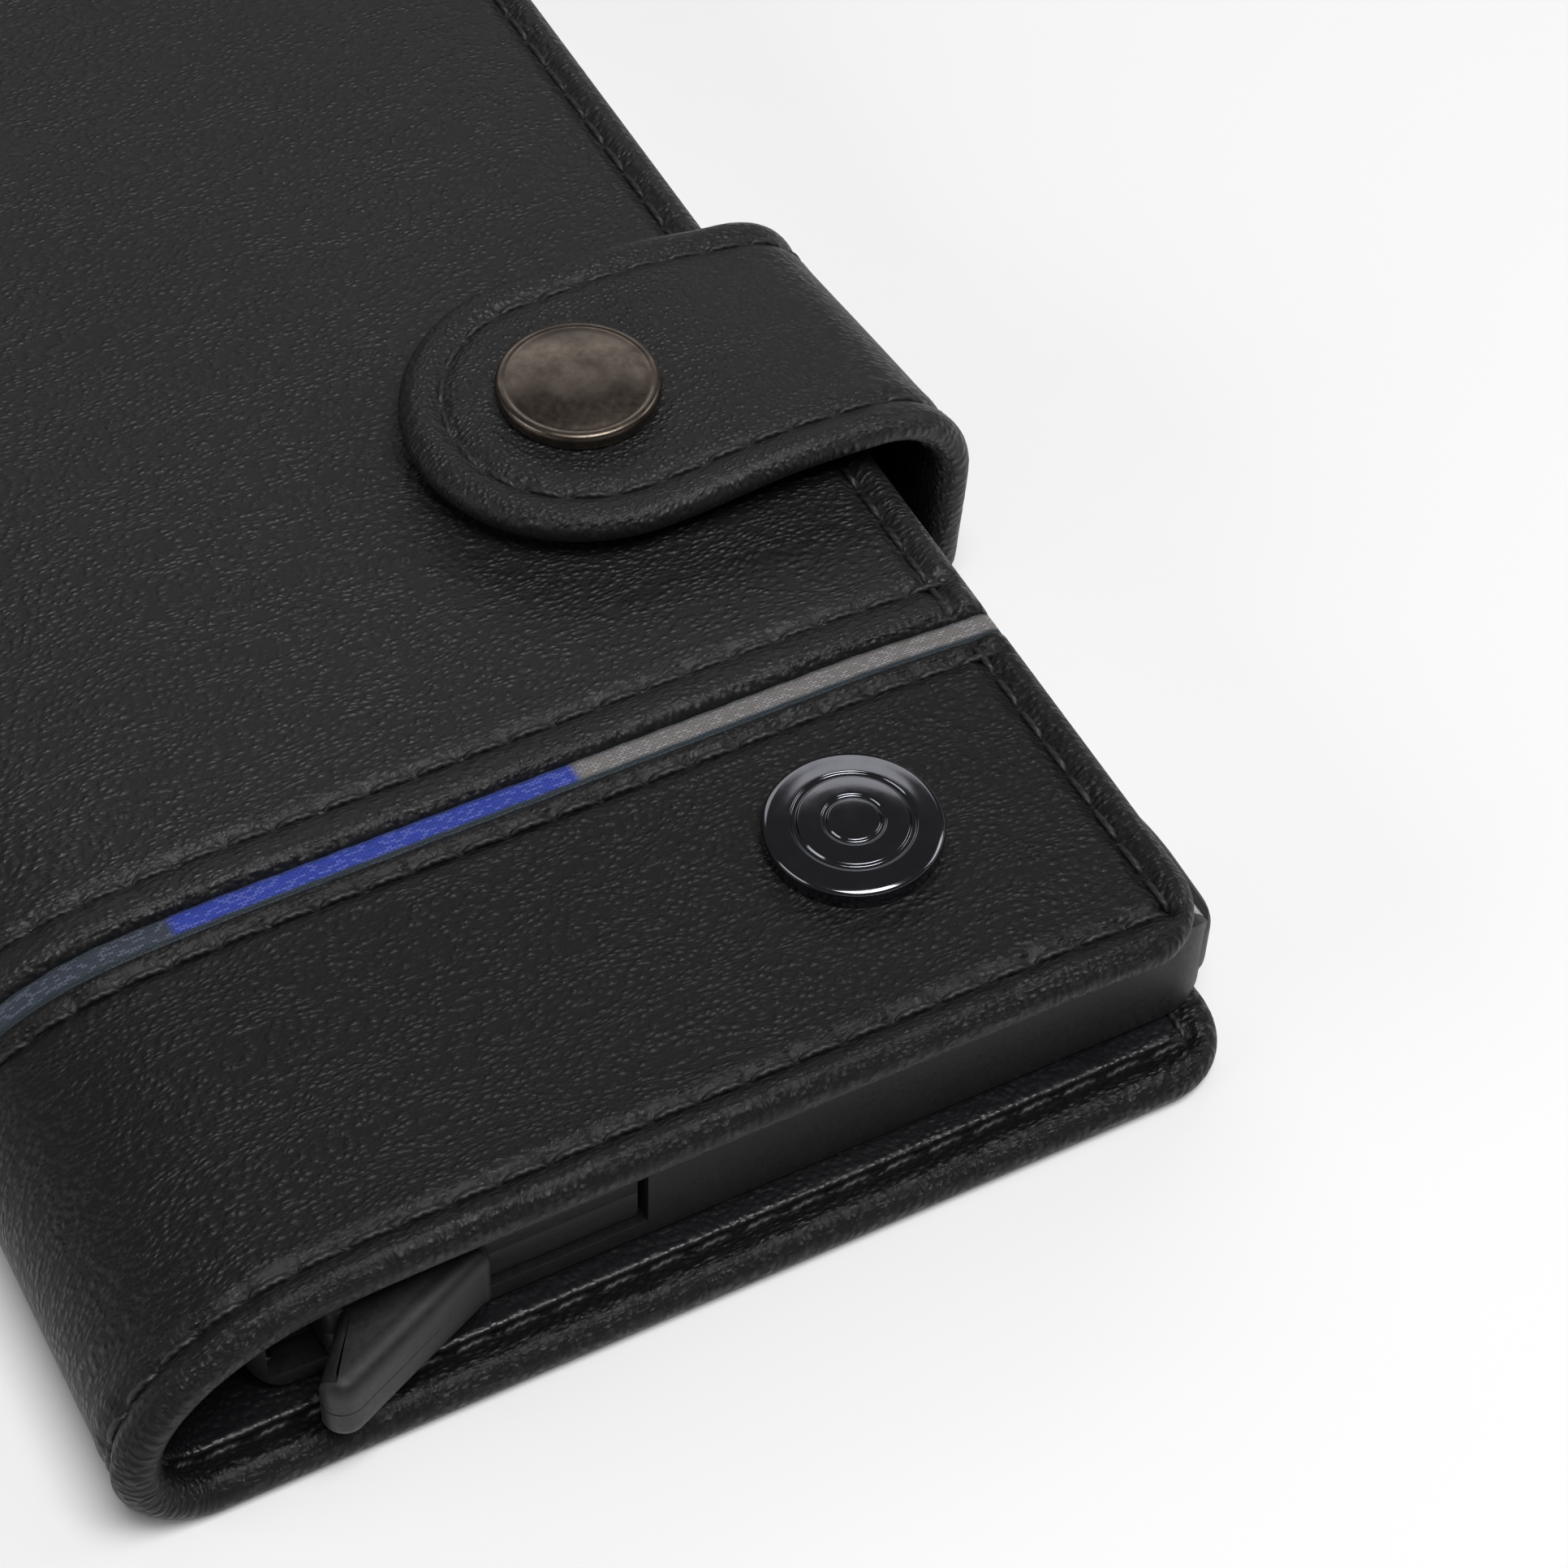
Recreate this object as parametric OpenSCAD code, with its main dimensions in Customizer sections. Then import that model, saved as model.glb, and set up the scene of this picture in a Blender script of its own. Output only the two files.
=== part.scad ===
// Folding leather wallet round a slim metal card case with an ejector lever.
// X runs across from the spine to the open edge, Y along the spine, Z out of the front cover.
// The origin is on the underside of the back cover, at mid width, under the middle of the strap.

/* [Card case] */
// outside width of the card case
case_w = 62; // [51:0.1:76]
// length of the card case from its end cap to its mouth
case_l = 102; // [88:0.1:122.5]
// outside thickness of the card case
case_t = 8; // [6.6:0.1:9.8]
// wall of the card case
case_wall = 0.9; // [0.7:0.01:1.1]
// rounding of the long sides of the case
case_round = 3; // [2:0.1:3.2]
// thickness of the card guide along each side
guide_w = 2.6; // [2:0.1:3.2]

/* [Covers] */
// space for the spine between the outside of the spine and the case
spine_gap = 8.9; // [7.4:0.1:10.8]
// radius of the fold at the back of the spine
fold_r = 5.4; // [4.5:0.1:6.4]
// width of the soft fold at the front of the spine
fold_w = 12; // [10:0.1:14]
// radius of the free corners of the covers
corner_r = 5; // [4.1:0.1:6.1]
// thickness of the outer leather
leather_t = 1.1; // [0.9:0.01:1.35]
// thickness of the stiffening boards
board_t = 0.5; // [0.4:0.01:0.6]
// thickness of the lining leather
lining_t = 0.8; // [0.66:0.01:0.97]
// width of the edge turned in round the covers
turn_w = 3; // [2.6:0.1:3.6]
// distance of the front stitching from the edge
stitch_in = 2.5; // [2.1:0.1:3]
// distance from one stitch to the next
stitch_pitch = 3.05; // [2.5:0.01:3.7]

/* [Front decoration] */
// height of the lower band above the foot of the cover
band_h = 25.7; // [22:0.1:30.8]
// visible width of the woven stripe
stripe_w = 1.9; // [1.6:0.05:2.3]
// radius of the round badge
badge_r = 5.35; // [4.4:0.05:6.4]
// height of the round badge above the leather
badge_h = 2.1; // [1.7:0.05:2.6]
// distance of the badge from the foot of the cover
badge_up = 15; // [12.5:0.1:16.8]

/* [Strap] */
// distance of the middle of the strap from the foot of the cover
strap_up = 51.4; // [46:0.1:61]
// width of the strap
strap_w = 23; // [19.1:0.1:27.7]
// gap between the strap and the front cover
strap_gap = 2; // [1.9:0.05:2.4]
// distance from the open edge to the middle of the snap
snap_in = 16.2; // [15:0.1:19.4]
// radius of the snap cap
snap_r = 5.2; // [4.5:0.05:6.2]

/* [Lever] */
// length of the thumb tab
tab_l = 11.8; // [9.8:0.1:14.2]
// how far the deep end of the tab stands out of the case
tab_out = 5.6; // [4.6:0.1:5.7]
// radius of the pivot pin
pin_r = 1.5; // [1.25:0.05:1.8]

/* [Hidden] */
$fn = 48;
// clearances
run_c = 0.05;
plug_c = 0.05;
hole_c = 0.05;
lever_c = 0.55;
case_lift = 0.2;
case_gap = 0.3;
// extra thickness of one flat pocket
pocket_t = 0.6;
// widths and lengths of the covers
edge_over = 0.1;
foot_margin = 2.8;
head_margin = 6;
back_foot = 1.8;
back_turn = 4.4;
front_short = 1.9;
back_w = spine_gap + case_w + edge_over;
back_l = case_l + foot_margin + head_margin;
xl = -back_w / 2;
xr = back_w / 2;
yf = -strap_up;
yh = yf + back_l;
yb = yf - back_foot;
xs = xl + fold_r;
xt = xl + fold_w;
// the card case
cx0 = xl + spine_gap;
cx1 = cx0 + case_w;
cy0 = yf + foot_margin;
cy1 = cy0 + case_l;
fx1 = cx1 - front_short;
// levels, from the resting face up
z_board = leather_t;
z_line = z_board + board_t;
z_back = z_line + lining_t;
z_case = z_back + case_lift;
z_case1 = z_case + case_t;
z_pocket = z_case1 + case_gap;
z_fline = z_pocket + pocket_t;
z_fboard = z_fline + lining_t;
z_front = z_fboard + board_t;
z_top = z_front + leather_t;
// stitching
thread_w = 0.5;
thread_d = 0.25;
core_d = 0.08;
groove_c = 0.1;
sx = fx1 - stitch_in;
sy0 = yf + stitch_in;
sy1 = yh - stitch_in;
back_in = 2.8;
band_y = yf + band_h;
panel_y = band_y + stripe_w;
fold_in = 3;
band_in = 1.5;
// the snap and the strap
snap_x = fx1 - snap_in;
bend_r = 3.7;
strap_line = 0.9;
strap_t = strap_line + leather_t;
strap_x = xr + bend_r - strap_t;
strap_z = z_top + strap_gap;
in_r = 4.6;
hinge_z = 6;
tip_cx = snap_x + 0.3;
tip_x = tip_cx - strap_w / 2;
post_r = 1.3;
tongue_l = 8.5;
socket_h = 1.2;
socket_bore = 3.2;
stud_r = 1.9;
// the badge
badge_x = fx1 - 16.4;
badge_y = yf + badge_up;
// the lever
wall_z0 = z_case + case_wall;
wall_z1 = z_case1 - case_wall;
lever_z0 = wall_z0 + lever_c;
lever_z1 = wall_z1 - lever_c;
lever_t = lever_z1 - lever_z0;
cap_t = 1.2;
plug_t = 0.8;
px = cx1 - 6;
py = cy0 + 5;
hub_r = 3;
arm_y0 = cy0 + cap_t + plug_t + 0.2;
arm_y1 = cy0 + 6.2;
tab_x0 = cx0 + 2.5;
slot_x0 = cx0 + 1.2;
slot_x1 = cx0 + 24.4;
bumper = 0.45;

function arc_at(x, y, r, a, b, n = 8) =
    r > 0 ? [for (i = [0:n]) [x + r * cos(a + (b - a) * i / n), y + r * sin(a + (b - a) * i / n)]] : [[x, y]];
// outline with its two corners on the open side rounded
function leaf(x0, x1, y0, y1, r0, r1) =
    concat([[x0, y0]], arc_at(x1 - r0, y0 + r0, r0, -90, 0), arc_at(x1 - r1, y1 - r1, r1, 0, 90), [[x0, y1]]);
function rounded(x0, x1, y0, y1, r) =
    concat(arc_at(x0 + r, y0 + r, r, 180, 270), arc_at(x1 - r, y0 + r, r, -90, 0),
        arc_at(x1 - r, y1 - r, r, 0, 90), arc_at(x0 + r, y1 - r, r, 90, 180));

module plate(points, z0, z1) {
    translate([0, 0, z0]) linear_extrude(height = z1 - z0) polygon(points);
}

module along_y(points, y0, y1) {
    translate([0, y1, 0]) rotate([90, 0, 0]) linear_extrude(height = y1 - y0) polygon(points);
}

// a straight row of stitches on a thin core, lying along X or Y with its top at z
module row_x(x0, x1, y, z) {
    n = floor((x1 - x0) / stitch_pitch);
    p = (x1 - x0) / n;
    translate([x0, y - thread_w / 2, z - thread_d]) cube([x1 - x0, thread_w, core_d]);
    for (i = [0:n - 1])
        translate([x0 + i * p + 0.35, y - thread_w / 2, z - thread_d]) cube([p - 0.7, thread_w, thread_d]);
}

module row_y(y0, y1, x, z) {
    n = floor((y1 - y0) / stitch_pitch);
    p = (y1 - y0) / n;
    translate([x - thread_w / 2, y0, z - thread_d]) cube([thread_w, y1 - y0, core_d]);
    for (i = [0:n - 1])
        translate([x - thread_w / 2, y0 + i * p + 0.35, z - thread_d]) cube([thread_w, p - 0.7, thread_d]);
}

module groove_x(x0, x1, y, z) {
    w = thread_w + 2 * groove_c;
    translate([x0, y - w / 2, z - thread_d]) cube([x1 - x0, w, thread_d + 1]);
}

module groove_y(y0, y1, x, z) {
    w = thread_w + 2 * groove_c;
    translate([x - w / 2, y0, z - thread_d]) cube([w, y1 - y0, thread_d + 1]);
}

// ---- back cover ----
module back_inside(o, z0, z1) {
    plate(leaf(xs - o, xr - back_turn, yb + back_turn, yh - back_turn, 2, 2), z0, z1);
}

module back_leather() {
    color([0.03, 0.03, 0.035]) difference() {
        union() {
            plate(leaf(xs, xr, yb, yh, corner_r, corner_r), 0, leather_t);
            difference() {
                plate(leaf(xs, xr, yb, yh, corner_r, corner_r), leather_t - 0.05, z_back);
                back_inside(1, leather_t - 0.1, z_back + 1);
            }
        }
        translate([xr - back_turn - 1, -strap_w / 2, z_board]) cube([back_turn + 2, strap_w, board_t]);
        groove_x(xs - 1, xr - back_in + thread_w / 2 + groove_c, yb + back_in, z_back);
        groove_x(xs - 1, xr - back_in + thread_w / 2 + groove_c, yh - back_in, z_back);
        groove_y(yb + back_in, yh - back_in, xr - back_in, z_back);
        back_corner(yb, 1);
        back_corner(yh, -1);
    }
}

// keeps the row of stitches clear of the rounded corners
module back_corner(y, s) {
    translate([xr - back_in, y + s * back_in, z_back - thread_d]) cylinder(r = thread_w / 2 + groove_c, h = 2);
}

module back_board() {
    color([0.35, 0.32, 0.28]) difference() {
        back_inside(0, z_board, z_line);
        translate([xr - tongue_l, -strap_w / 2, z_board - 1]) cube([tongue_l, strap_w, 3]);
    }
}

module back_lining() {
    color([0.04, 0.04, 0.045]) back_inside(0, z_line, z_back);
}

module back_stitching() {
    color([0.02, 0.02, 0.02]) union() {
        row_x(xs, xr - back_in + thread_w / 2, yb + back_in, z_back);
        row_x(xs, xr - back_in + thread_w / 2, yh - back_in, z_back);
        row_y(yb + back_in, yh - back_in, xr - back_in, z_back);
    }
}

// ---- spine ----
// quarter of an ellipse
function oval_at(x, y, rx, ry, a, b, n) =
    [for (i = [0:n]) [x + rx * cos(a + (b - a) * i / n), y + ry * sin(a + (b - a) * i / n)]];

// the inside of the spine, a given depth in from its outer face; its foot slopes out to the back cover
module spine_block(o) {
    difference() {
        along_y(concat(oval_at(xt, fold_r, fold_w - o, z_top - fold_r - o, 90, 180, 16),
            oval_at(xs, fold_r, fold_r - o, fold_r - o, 180, 270, 12), [[xs, fold_r], [xt, fold_r]]), yb, yh);
        translate([xl - 1, 0, 0]) rotate([90, 0, 90]) linear_extrude(height = fold_w + 2)
            polygon([[yb - 9, -1], [yb - back_foot / z_top, -1], [yf + back_foot / z_top, z_top + 1],
                [yb - 9, z_top + 1]]);
    }
}

module spine_leather() {
    color([0.03, 0.03, 0.035]) difference() {
        spine_block(0);
        spine_block(leather_t);
    }
}

module spine_lining() {
    color([0.04, 0.04, 0.045]) difference() {
        spine_block(leather_t);
        spine_block(leather_t + lining_t);
    }
}

// ---- card case ----
function case_section(o, r) = rounded(cx0 + o, cx1 - o, z_case + o, z_case1 - o, r);

module case_shell() {
    color([0.62, 0.63, 0.65]) difference() {
        along_y(case_section(0, case_round), cy0 + cap_t, cy1);
        along_y(case_section(case_wall, case_round - case_wall), cy0, cy1 + 1);
    }
}

module case_end_cap() {
    color([0.1, 0.1, 0.11]) difference() {
        union() {
            intersection() {
                along_y(case_section(0, case_round), cy0, cy0 + cap_t);
                plate(rounded(cx0, cx1, cy0, cy0 + 12, 2), 0, z_top);
            }
            cap_bumper();
            along_y(case_section(case_wall + plug_c, case_round - case_wall - plug_c),
                cy0 + cap_t - 0.05, cy0 + cap_t + plug_t);
        }
        translate([slot_x0, cy0 - 1, lever_z0 - 0.2]) cube([slot_x1 - slot_x0, 5, lever_t + 0.4]);
    }
}

// wraps the open side of the case at its end
module cap_bumper() {
    intersection() {
        difference() {
            along_y(case_section(-bumper, case_round + bumper), cy0, cy0 + 3.6);
            along_y(case_section(-0.03, case_round + 0.03), cy0 + cap_t, cy0 + 9);
        }
        plate(rounded(cx0, cx1 + bumper, cy0, cy0 + 12, 2.3), z_case + 0.8, z_case1 - 1.5);
        translate([cx1 - 4, cy0 - 1, 0]) cube([9, 9, z_top]);
    }
}

module case_pad() {
    color([0.15, 0.15, 0.15])
        plate(rounded(cx0 + 6, xr - turn_w - 1, cy0 + 6, cy1 - 6, 2), z_back, z_case);
}

module guide(x, y0) {
    translate([x, y0, wall_z0 + case_round - case_wall])
        cube([guide_w, cy1 - 2 - y0, case_t - 2 * case_round]);
}

module guide_left() {
    color([0.12, 0.12, 0.12]) guide(cx0 + case_wall, cy0 + 31);
}

module guide_right() {
    color([0.12, 0.12, 0.12]) guide(cx1 - case_wall - guide_w, cy0 + 12);
}

module lever_pin() {
    color([0.5, 0.5, 0.52]) translate([px, py, wall_z0]) cylinder(r = pin_r, h = wall_z1 - wall_z0);
}

module eject_lever() {
    step_t = lever_t / 5;
    color([0.11, 0.11, 0.12]) difference() {
        union() {
            translate([px, py, lever_z0]) cylinder(r = hub_r, h = lever_t);
            plate(concat([[px, arm_y0], [slot_x1 - 0.5, arm_y0], [slot_x1 - 0.5, cy0 + 0.35],
                [tab_x0 + tab_l, cy0 + 0.35], [tab_x0 + tab_l, cy0 - 0.6], [tab_x0 + tab_l - 0.5, cy0 - 1.3]],
                arc_at(tab_x0 + 1.35, cy0 - tab_out + 1.35, 1.35, 290, 180, 6),
                [[tab_x0 + 2, cy0 - 0.6], [tab_x0 + 2, arm_y1 - 0.5], [tab_x0, arm_y1 - 0.5], [tab_x0, arm_y1],
                [px, py + hub_r - 0.2]]), lever_z0, lever_z1);
            for (k = [0:4])
                plate([[tab_x0, arm_y1 - 0.5], [tab_x0 + 9, arm_y1 - 0.5], [tab_x0 + 9, arm_y1 + 0.6 + k * 1.1],
                    [tab_x0, arm_y1 + 0.6 + k * 1.1]], lever_z0 + k * step_t, lever_z0 + (k + 1) * step_t);
        }
        translate([px, py, lever_z0 - 1]) cylinder(r = pin_r + run_c, h = lever_t + 2);
    }
}

// ---- front cover ----
module front_hole(x, y, r) {
    translate([x, y, z_front - 2]) cylinder(r = r, h = 4);
}

module front_panel() {
    color([0.03, 0.03, 0.035]) difference() {
        union() {
            plate(leaf(xt, fx1, panel_y, yh, 0, corner_r), z_front, z_top);
            difference() {
                plate(leaf(xt, fx1, panel_y, yh, 0, corner_r), z_fline, z_front + 0.05);
                plate(leaf(xt - 1, fx1 - turn_w, yf, yh - turn_w, 0, 2), z_fline - 1, z_front + 0.1);
            }
        }
        groove_y(panel_y - 1, sy1, sx, z_top);
        groove_x(xt - 1, sx + thread_w / 2 + groove_c, sy1, z_top);
        groove_x(xt - 1, sx, panel_y + fold_in, z_top);
        translate([sx, sy1, z_top - thread_d]) cylinder(r = thread_w / 2 + groove_c, h = 2);
        front_hole(snap_x, 0, post_r + hole_c);
    }
}

module front_band() {
    color([0.03, 0.03, 0.035]) difference() {
        union() {
            plate(leaf(xt, fx1, yf, band_y, corner_r, 0), z_front, z_top);
            difference() {
                plate(leaf(xt, fx1, yf, band_y, corner_r, 0), z_fline, z_front + 0.05);
                plate(leaf(xt - 1, fx1 - turn_w, yf + turn_w, yh, 2, 0), z_fline - 1, z_front + 0.1);
            }
        }
        groove_y(sy0, band_y + 1, sx, z_top);
        groove_x(xt - 1, sx + thread_w / 2 + groove_c, sy0, z_top);
        groove_x(xt - 1, sx, band_y - band_in, z_top);
        translate([sx, sy0, z_top - thread_d]) cylinder(r = thread_w / 2 + groove_c, h = 2);
        front_hole(badge_x, badge_y, post_r + hole_c);
    }
}

module woven_stripe() {
    ribs = floor((fx1 - xt) / 2.1);
    p = (fx1 - xt) / ribs;
    color([0.25, 0.3, 0.38]) union() {
        translate([xt, band_y, z_front]) cube([fx1 - xt, stripe_w, 0.35]);
        translate([fx1 - turn_w, band_y, z_fline]) cube([turn_w, stripe_w, z_front - z_fline + 0.1]);
        for (i = [0:ribs - 1])
            translate([xt + i * p + 0.25, band_y + 0.35, z_front + 0.3]) cube([p - 0.5, stripe_w - 0.7, 0.25]);
    }
}

module front_board() {
    color([0.35, 0.32, 0.28]) difference() {
        plate(leaf(xt, fx1 - turn_w, yf + turn_w, yh - turn_w, 2, 2), z_fboard, z_front);
        front_hole(snap_x, 0, 3);
        front_hole(badge_x, badge_y, 3);
    }
}

module front_lining() {
    color([0.04, 0.04, 0.045]) plate(leaf(xt, fx1 - turn_w, yf + turn_w, yh - turn_w, 2, 2), z_fline, z_fboard);
}

module pocket_panel() {
    color([0.04, 0.04, 0.045]) plate(rounded(xt + 1, fx1 - 1.5, yf + 6, yh - 28, 2), z_pocket, z_fline);
}

module edge_stitching() {
    color([0.02, 0.02, 0.02]) union() {
        row_y(sy0, sy1, sx, z_top);
        row_x(xt, sx + thread_w / 2, sy0, z_top);
        row_x(xt, sx + thread_w / 2, sy1, z_top);
    }
}

module fold_stitching() {
    color([0.02, 0.02, 0.02]) row_x(xt, sx - thread_w, panel_y + fold_in, z_top);
}

module band_stitching() {
    color([0.02, 0.02, 0.02]) row_x(xt, sx - thread_w, band_y - band_in, z_top);
}

module badge() {
    color([0.16, 0.17, 0.2]) translate([badge_x, badge_y, 0]) difference() {
        union() {
            translate([0, 0, z_top]) rotate_extrude() polygon([[0, 0], [badge_r, 0], [badge_r, badge_h - 0.35],
                [badge_r - 0.12, badge_h - 0.1], [badge_r - 0.4, badge_h], [badge_r - 0.8, badge_h - 0.15],
                [0, badge_h - 0.15]]);
            translate([0, 0, z_front]) cylinder(r = post_r, h = leather_t + 0.2);
        }
        translate([0, 0, z_top + badge_h - 0.3]) difference() {
            cylinder(r = 3, h = 1);
            translate([0, 0, -0.1]) cylinder(r = 2.6, h = 2);
        }
    }
}

module badge_washer() {
    color([0.4, 0.4, 0.42]) translate([badge_x, badge_y, z_fboard]) cylinder(r = 2.9, h = board_t);
}

module snap_stud() {
    color([0.35, 0.33, 0.3]) translate([snap_x, 0, z_top]) rotate_extrude() polygon([[0, -leather_t],
        [post_r, -leather_t], [post_r, 0], [3.6, 0], [3.6, 0.3], [3.2, 0.45], [1.5, 0.5], [1.5, 1.05],
        [stud_r, 1.25], [stud_r - 0.1, 1.5], [1.4, 1.6], [0, 1.6]]);
}

module stud_washer() {
    color([0.4, 0.4, 0.42]) translate([snap_x, 0, z_fboard]) cylinder(r = 2.9, h = board_t);
}

// ---- strap ----
// layer of the strap between two depths above its inside face, from the hinge line to the tip
module strap_layer(a, b) {
    ax = strap_x - in_r;
    az = strap_z - in_r;
    intersection() {
        along_y(concat([[strap_x + b, hinge_z]], arc_at(ax, az, in_r + b, 0, 90, 12), [[tip_x - 1, strap_z + b]],
            [[tip_x - 1, strap_z + a]], arc_at(ax, az, in_r + a, 90, 0, 12), [[strap_x + a, hinge_z]]),
            -strap_w / 2, strap_w / 2);
        plate(concat(arc_at(tip_cx, 0, strap_w / 2, 90, 270, 24),
            [[strap_x + 5, -strap_w / 2], [strap_x + 5, strap_w / 2]]), 0, strap_z + 5);
    }
}

module strap_ring(w, z0, z1) {
    r = strap_w / 2 - stitch_in;
    translate([tip_cx, 0, z0]) intersection() {
        difference() {
            cylinder(r = r + w / 2, h = z1 - z0);
            translate([0, 0, -1]) cylinder(r = r - w / 2, h = z1 - z0 + 2);
        }
        translate([-strap_w, -strap_w, -1]) cube([strap_w, 2 * strap_w, z1 - z0 + 2]);
    }
}

module strap_leather() {
    zt = strap_z + strap_t;
    w = thread_w + 2 * groove_c;
    color([0.03, 0.03, 0.035]) difference() {
        strap_layer(strap_line, strap_t);
        strap_ring(w, zt - thread_d, zt + 1);
        for (s = [-1, 1])
            groove_x(tip_cx - 0.1, strap_x - in_r, s * (strap_w / 2 - stitch_in), zt);
        translate([snap_x, 0, strap_z - 1]) cylinder(r = post_r + hole_c, h = 5);
    }
}

module strap_lining() {
    color([0.04, 0.04, 0.045]) difference() {
        strap_layer(0, strap_line);
        translate([snap_x, 0, strap_z - 1]) cylinder(r = post_r + hole_c, h = 5);
    }
}

module strap_stitching() {
    zt = strap_z + strap_t;
    r = strap_w / 2 - stitch_in;
    n = floor(3.1416 * r / stitch_pitch);
    color([0.02, 0.02, 0.02]) union() {
        strap_ring(thread_w, zt - thread_d, zt - thread_d + core_d);
        for (s = [-1, 1])
            row_x(tip_cx - 0.05, strap_x - in_r, s * r, zt);
        for (i = [0:n - 1])
            rotate_at(90 + (i + 0.5) * 180 / n)
                translate([r - thread_w / 2, -stitch_pitch / 2 + 0.35, zt - thread_d])
                    cube([thread_w - 0.05, stitch_pitch - 0.7, thread_d]);
    }
}

module rotate_at(a) {
    translate([tip_cx, 0, 0]) rotate([0, 0, a]) children();
}

module strap_loop() {
    color([0.03, 0.03, 0.035]) along_y(concat(arc_at(xr, bend_r + 0.15, bend_r, -90, 0, 12),
        [[xr + bend_r, hinge_z], [strap_x, hinge_z]], arc_at(xr, bend_r + 0.15, bend_r - strap_t, 0, -90, 12)),
        -strap_w / 2, strap_w / 2);
}

module strap_tongue() {
    color([0.04, 0.04, 0.045])
        translate([xr - tongue_l, -strap_w / 2, z_board]) cube([tongue_l, strap_w, board_t]);
}

module snap_cap() {
    color([0.3, 0.27, 0.24]) translate([snap_x, 0, strap_z + strap_t]) rotate_extrude() polygon([[0, -strap_t],
        [post_r, -strap_t], [post_r, 0], [snap_r - 0.15, 0], [snap_r, 0.2], [snap_r, 0.9], [snap_r - 0.15, 1.2],
        [snap_r - 0.6, 1.45], [snap_r - 1.6, 1.6], [0, 1.7]]);
}

module snap_socket() {
    color([0.35, 0.33, 0.3]) translate([snap_x, 0, strap_z - socket_h]) rotate_extrude() polygon([
        [socket_bore, 0], [socket_bore + 0.9, 0], [socket_bore + 1.1, 0.2], [socket_bore + 1.1, socket_h],
        [0, socket_h], [0, socket_h - 0.2], [socket_bore, socket_h - 0.2]]);
}

back_leather();
back_board();
back_lining();
back_stitching();
spine_leather();
spine_lining();
case_shell();
case_end_cap();
case_pad();
guide_left();
guide_right();
lever_pin();
eject_lever();
front_panel();
front_band();
woven_stripe();
front_board();
front_lining();
pocket_panel();
edge_stitching();
fold_stitching();
band_stitching();
badge();
badge_washer();
snap_stud();
stud_washer();
strap_leather();
strap_lining();
strap_loop();
strap_tongue();
strap_stitching();
snap_cap();
snap_socket();
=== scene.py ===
import math

import bmesh
import bpy
import numpy as np
from mathutils import Matrix, Vector


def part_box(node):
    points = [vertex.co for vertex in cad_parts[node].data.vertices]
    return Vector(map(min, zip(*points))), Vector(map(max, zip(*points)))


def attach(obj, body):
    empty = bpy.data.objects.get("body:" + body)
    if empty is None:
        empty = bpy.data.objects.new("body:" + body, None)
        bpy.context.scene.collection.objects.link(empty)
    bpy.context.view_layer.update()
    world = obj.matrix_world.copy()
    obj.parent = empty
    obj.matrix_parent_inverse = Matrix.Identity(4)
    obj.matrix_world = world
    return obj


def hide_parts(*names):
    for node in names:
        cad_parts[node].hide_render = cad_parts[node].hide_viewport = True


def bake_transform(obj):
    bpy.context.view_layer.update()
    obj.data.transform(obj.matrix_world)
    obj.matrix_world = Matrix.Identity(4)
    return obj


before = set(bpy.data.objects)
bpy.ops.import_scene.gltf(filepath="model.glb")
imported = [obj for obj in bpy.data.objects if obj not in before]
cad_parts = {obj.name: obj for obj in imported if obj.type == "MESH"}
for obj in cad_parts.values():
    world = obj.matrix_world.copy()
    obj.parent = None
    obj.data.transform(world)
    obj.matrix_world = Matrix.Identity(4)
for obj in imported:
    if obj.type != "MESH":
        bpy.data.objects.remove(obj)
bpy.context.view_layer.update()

MM = 0.001


def box_mm(node):
    lo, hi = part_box(node)
    return np.array(lo) / MM, np.array(hi) / MM


PANEL_LO, PANEL_HI = box_mm("front_panel")
BAND_LO, BAND_HI = box_mm("front_band")
BACK_LO, BACK_HI = box_mm("back_leather")
SPINE_LO = box_mm("spine_leather")[0]
LOOP_HI = box_mm("strap_loop")[1]
STRAP_LO, STRAP_HI = box_mm("strap_leather")
LEVER_LO, LEVER_HI = box_mm("eject_lever")
BADGE_LO, BADGE_HI = box_mm("badge")
CAP_LO, CAP_HI = box_mm("snap_cap")
SOCKET_LO, SOCKET_HI = box_mm("snap_socket")
PIN_LO, PIN_HI = box_mm("lever_pin")

XS = float(BACK_LO[0])
XR = float(BACK_HI[0])
XL = float(SPINE_LO[0])
XT = float(PANEL_LO[0])
FX = float(PANEL_HI[0])
YF = float(BAND_LO[1])
YB = float(BACK_LO[1])
YH = float(BACK_HI[1])
Z_TOP = float(PANEL_HI[2])
BAND_Y = float(BAND_HI[1])
PANEL_Y = float(PANEL_LO[1])
COVER_T = float(BACK_HI[2])
FOLD_R = XS - XL
FOLD_W = XT - XL
FOLD_H = Z_TOP - FOLD_R
SKIN = 1.1
CORNER = 5.0
PITCH = 3.0
ROW_FRONT = 2.5
ROW_BACK = 2.8
ROW_FOLD = 3.0
ROW_BAND = 1.5
RIM = 3.0
HIDE_STEP = 0.42
RIB_PITCH = 0.95

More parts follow.
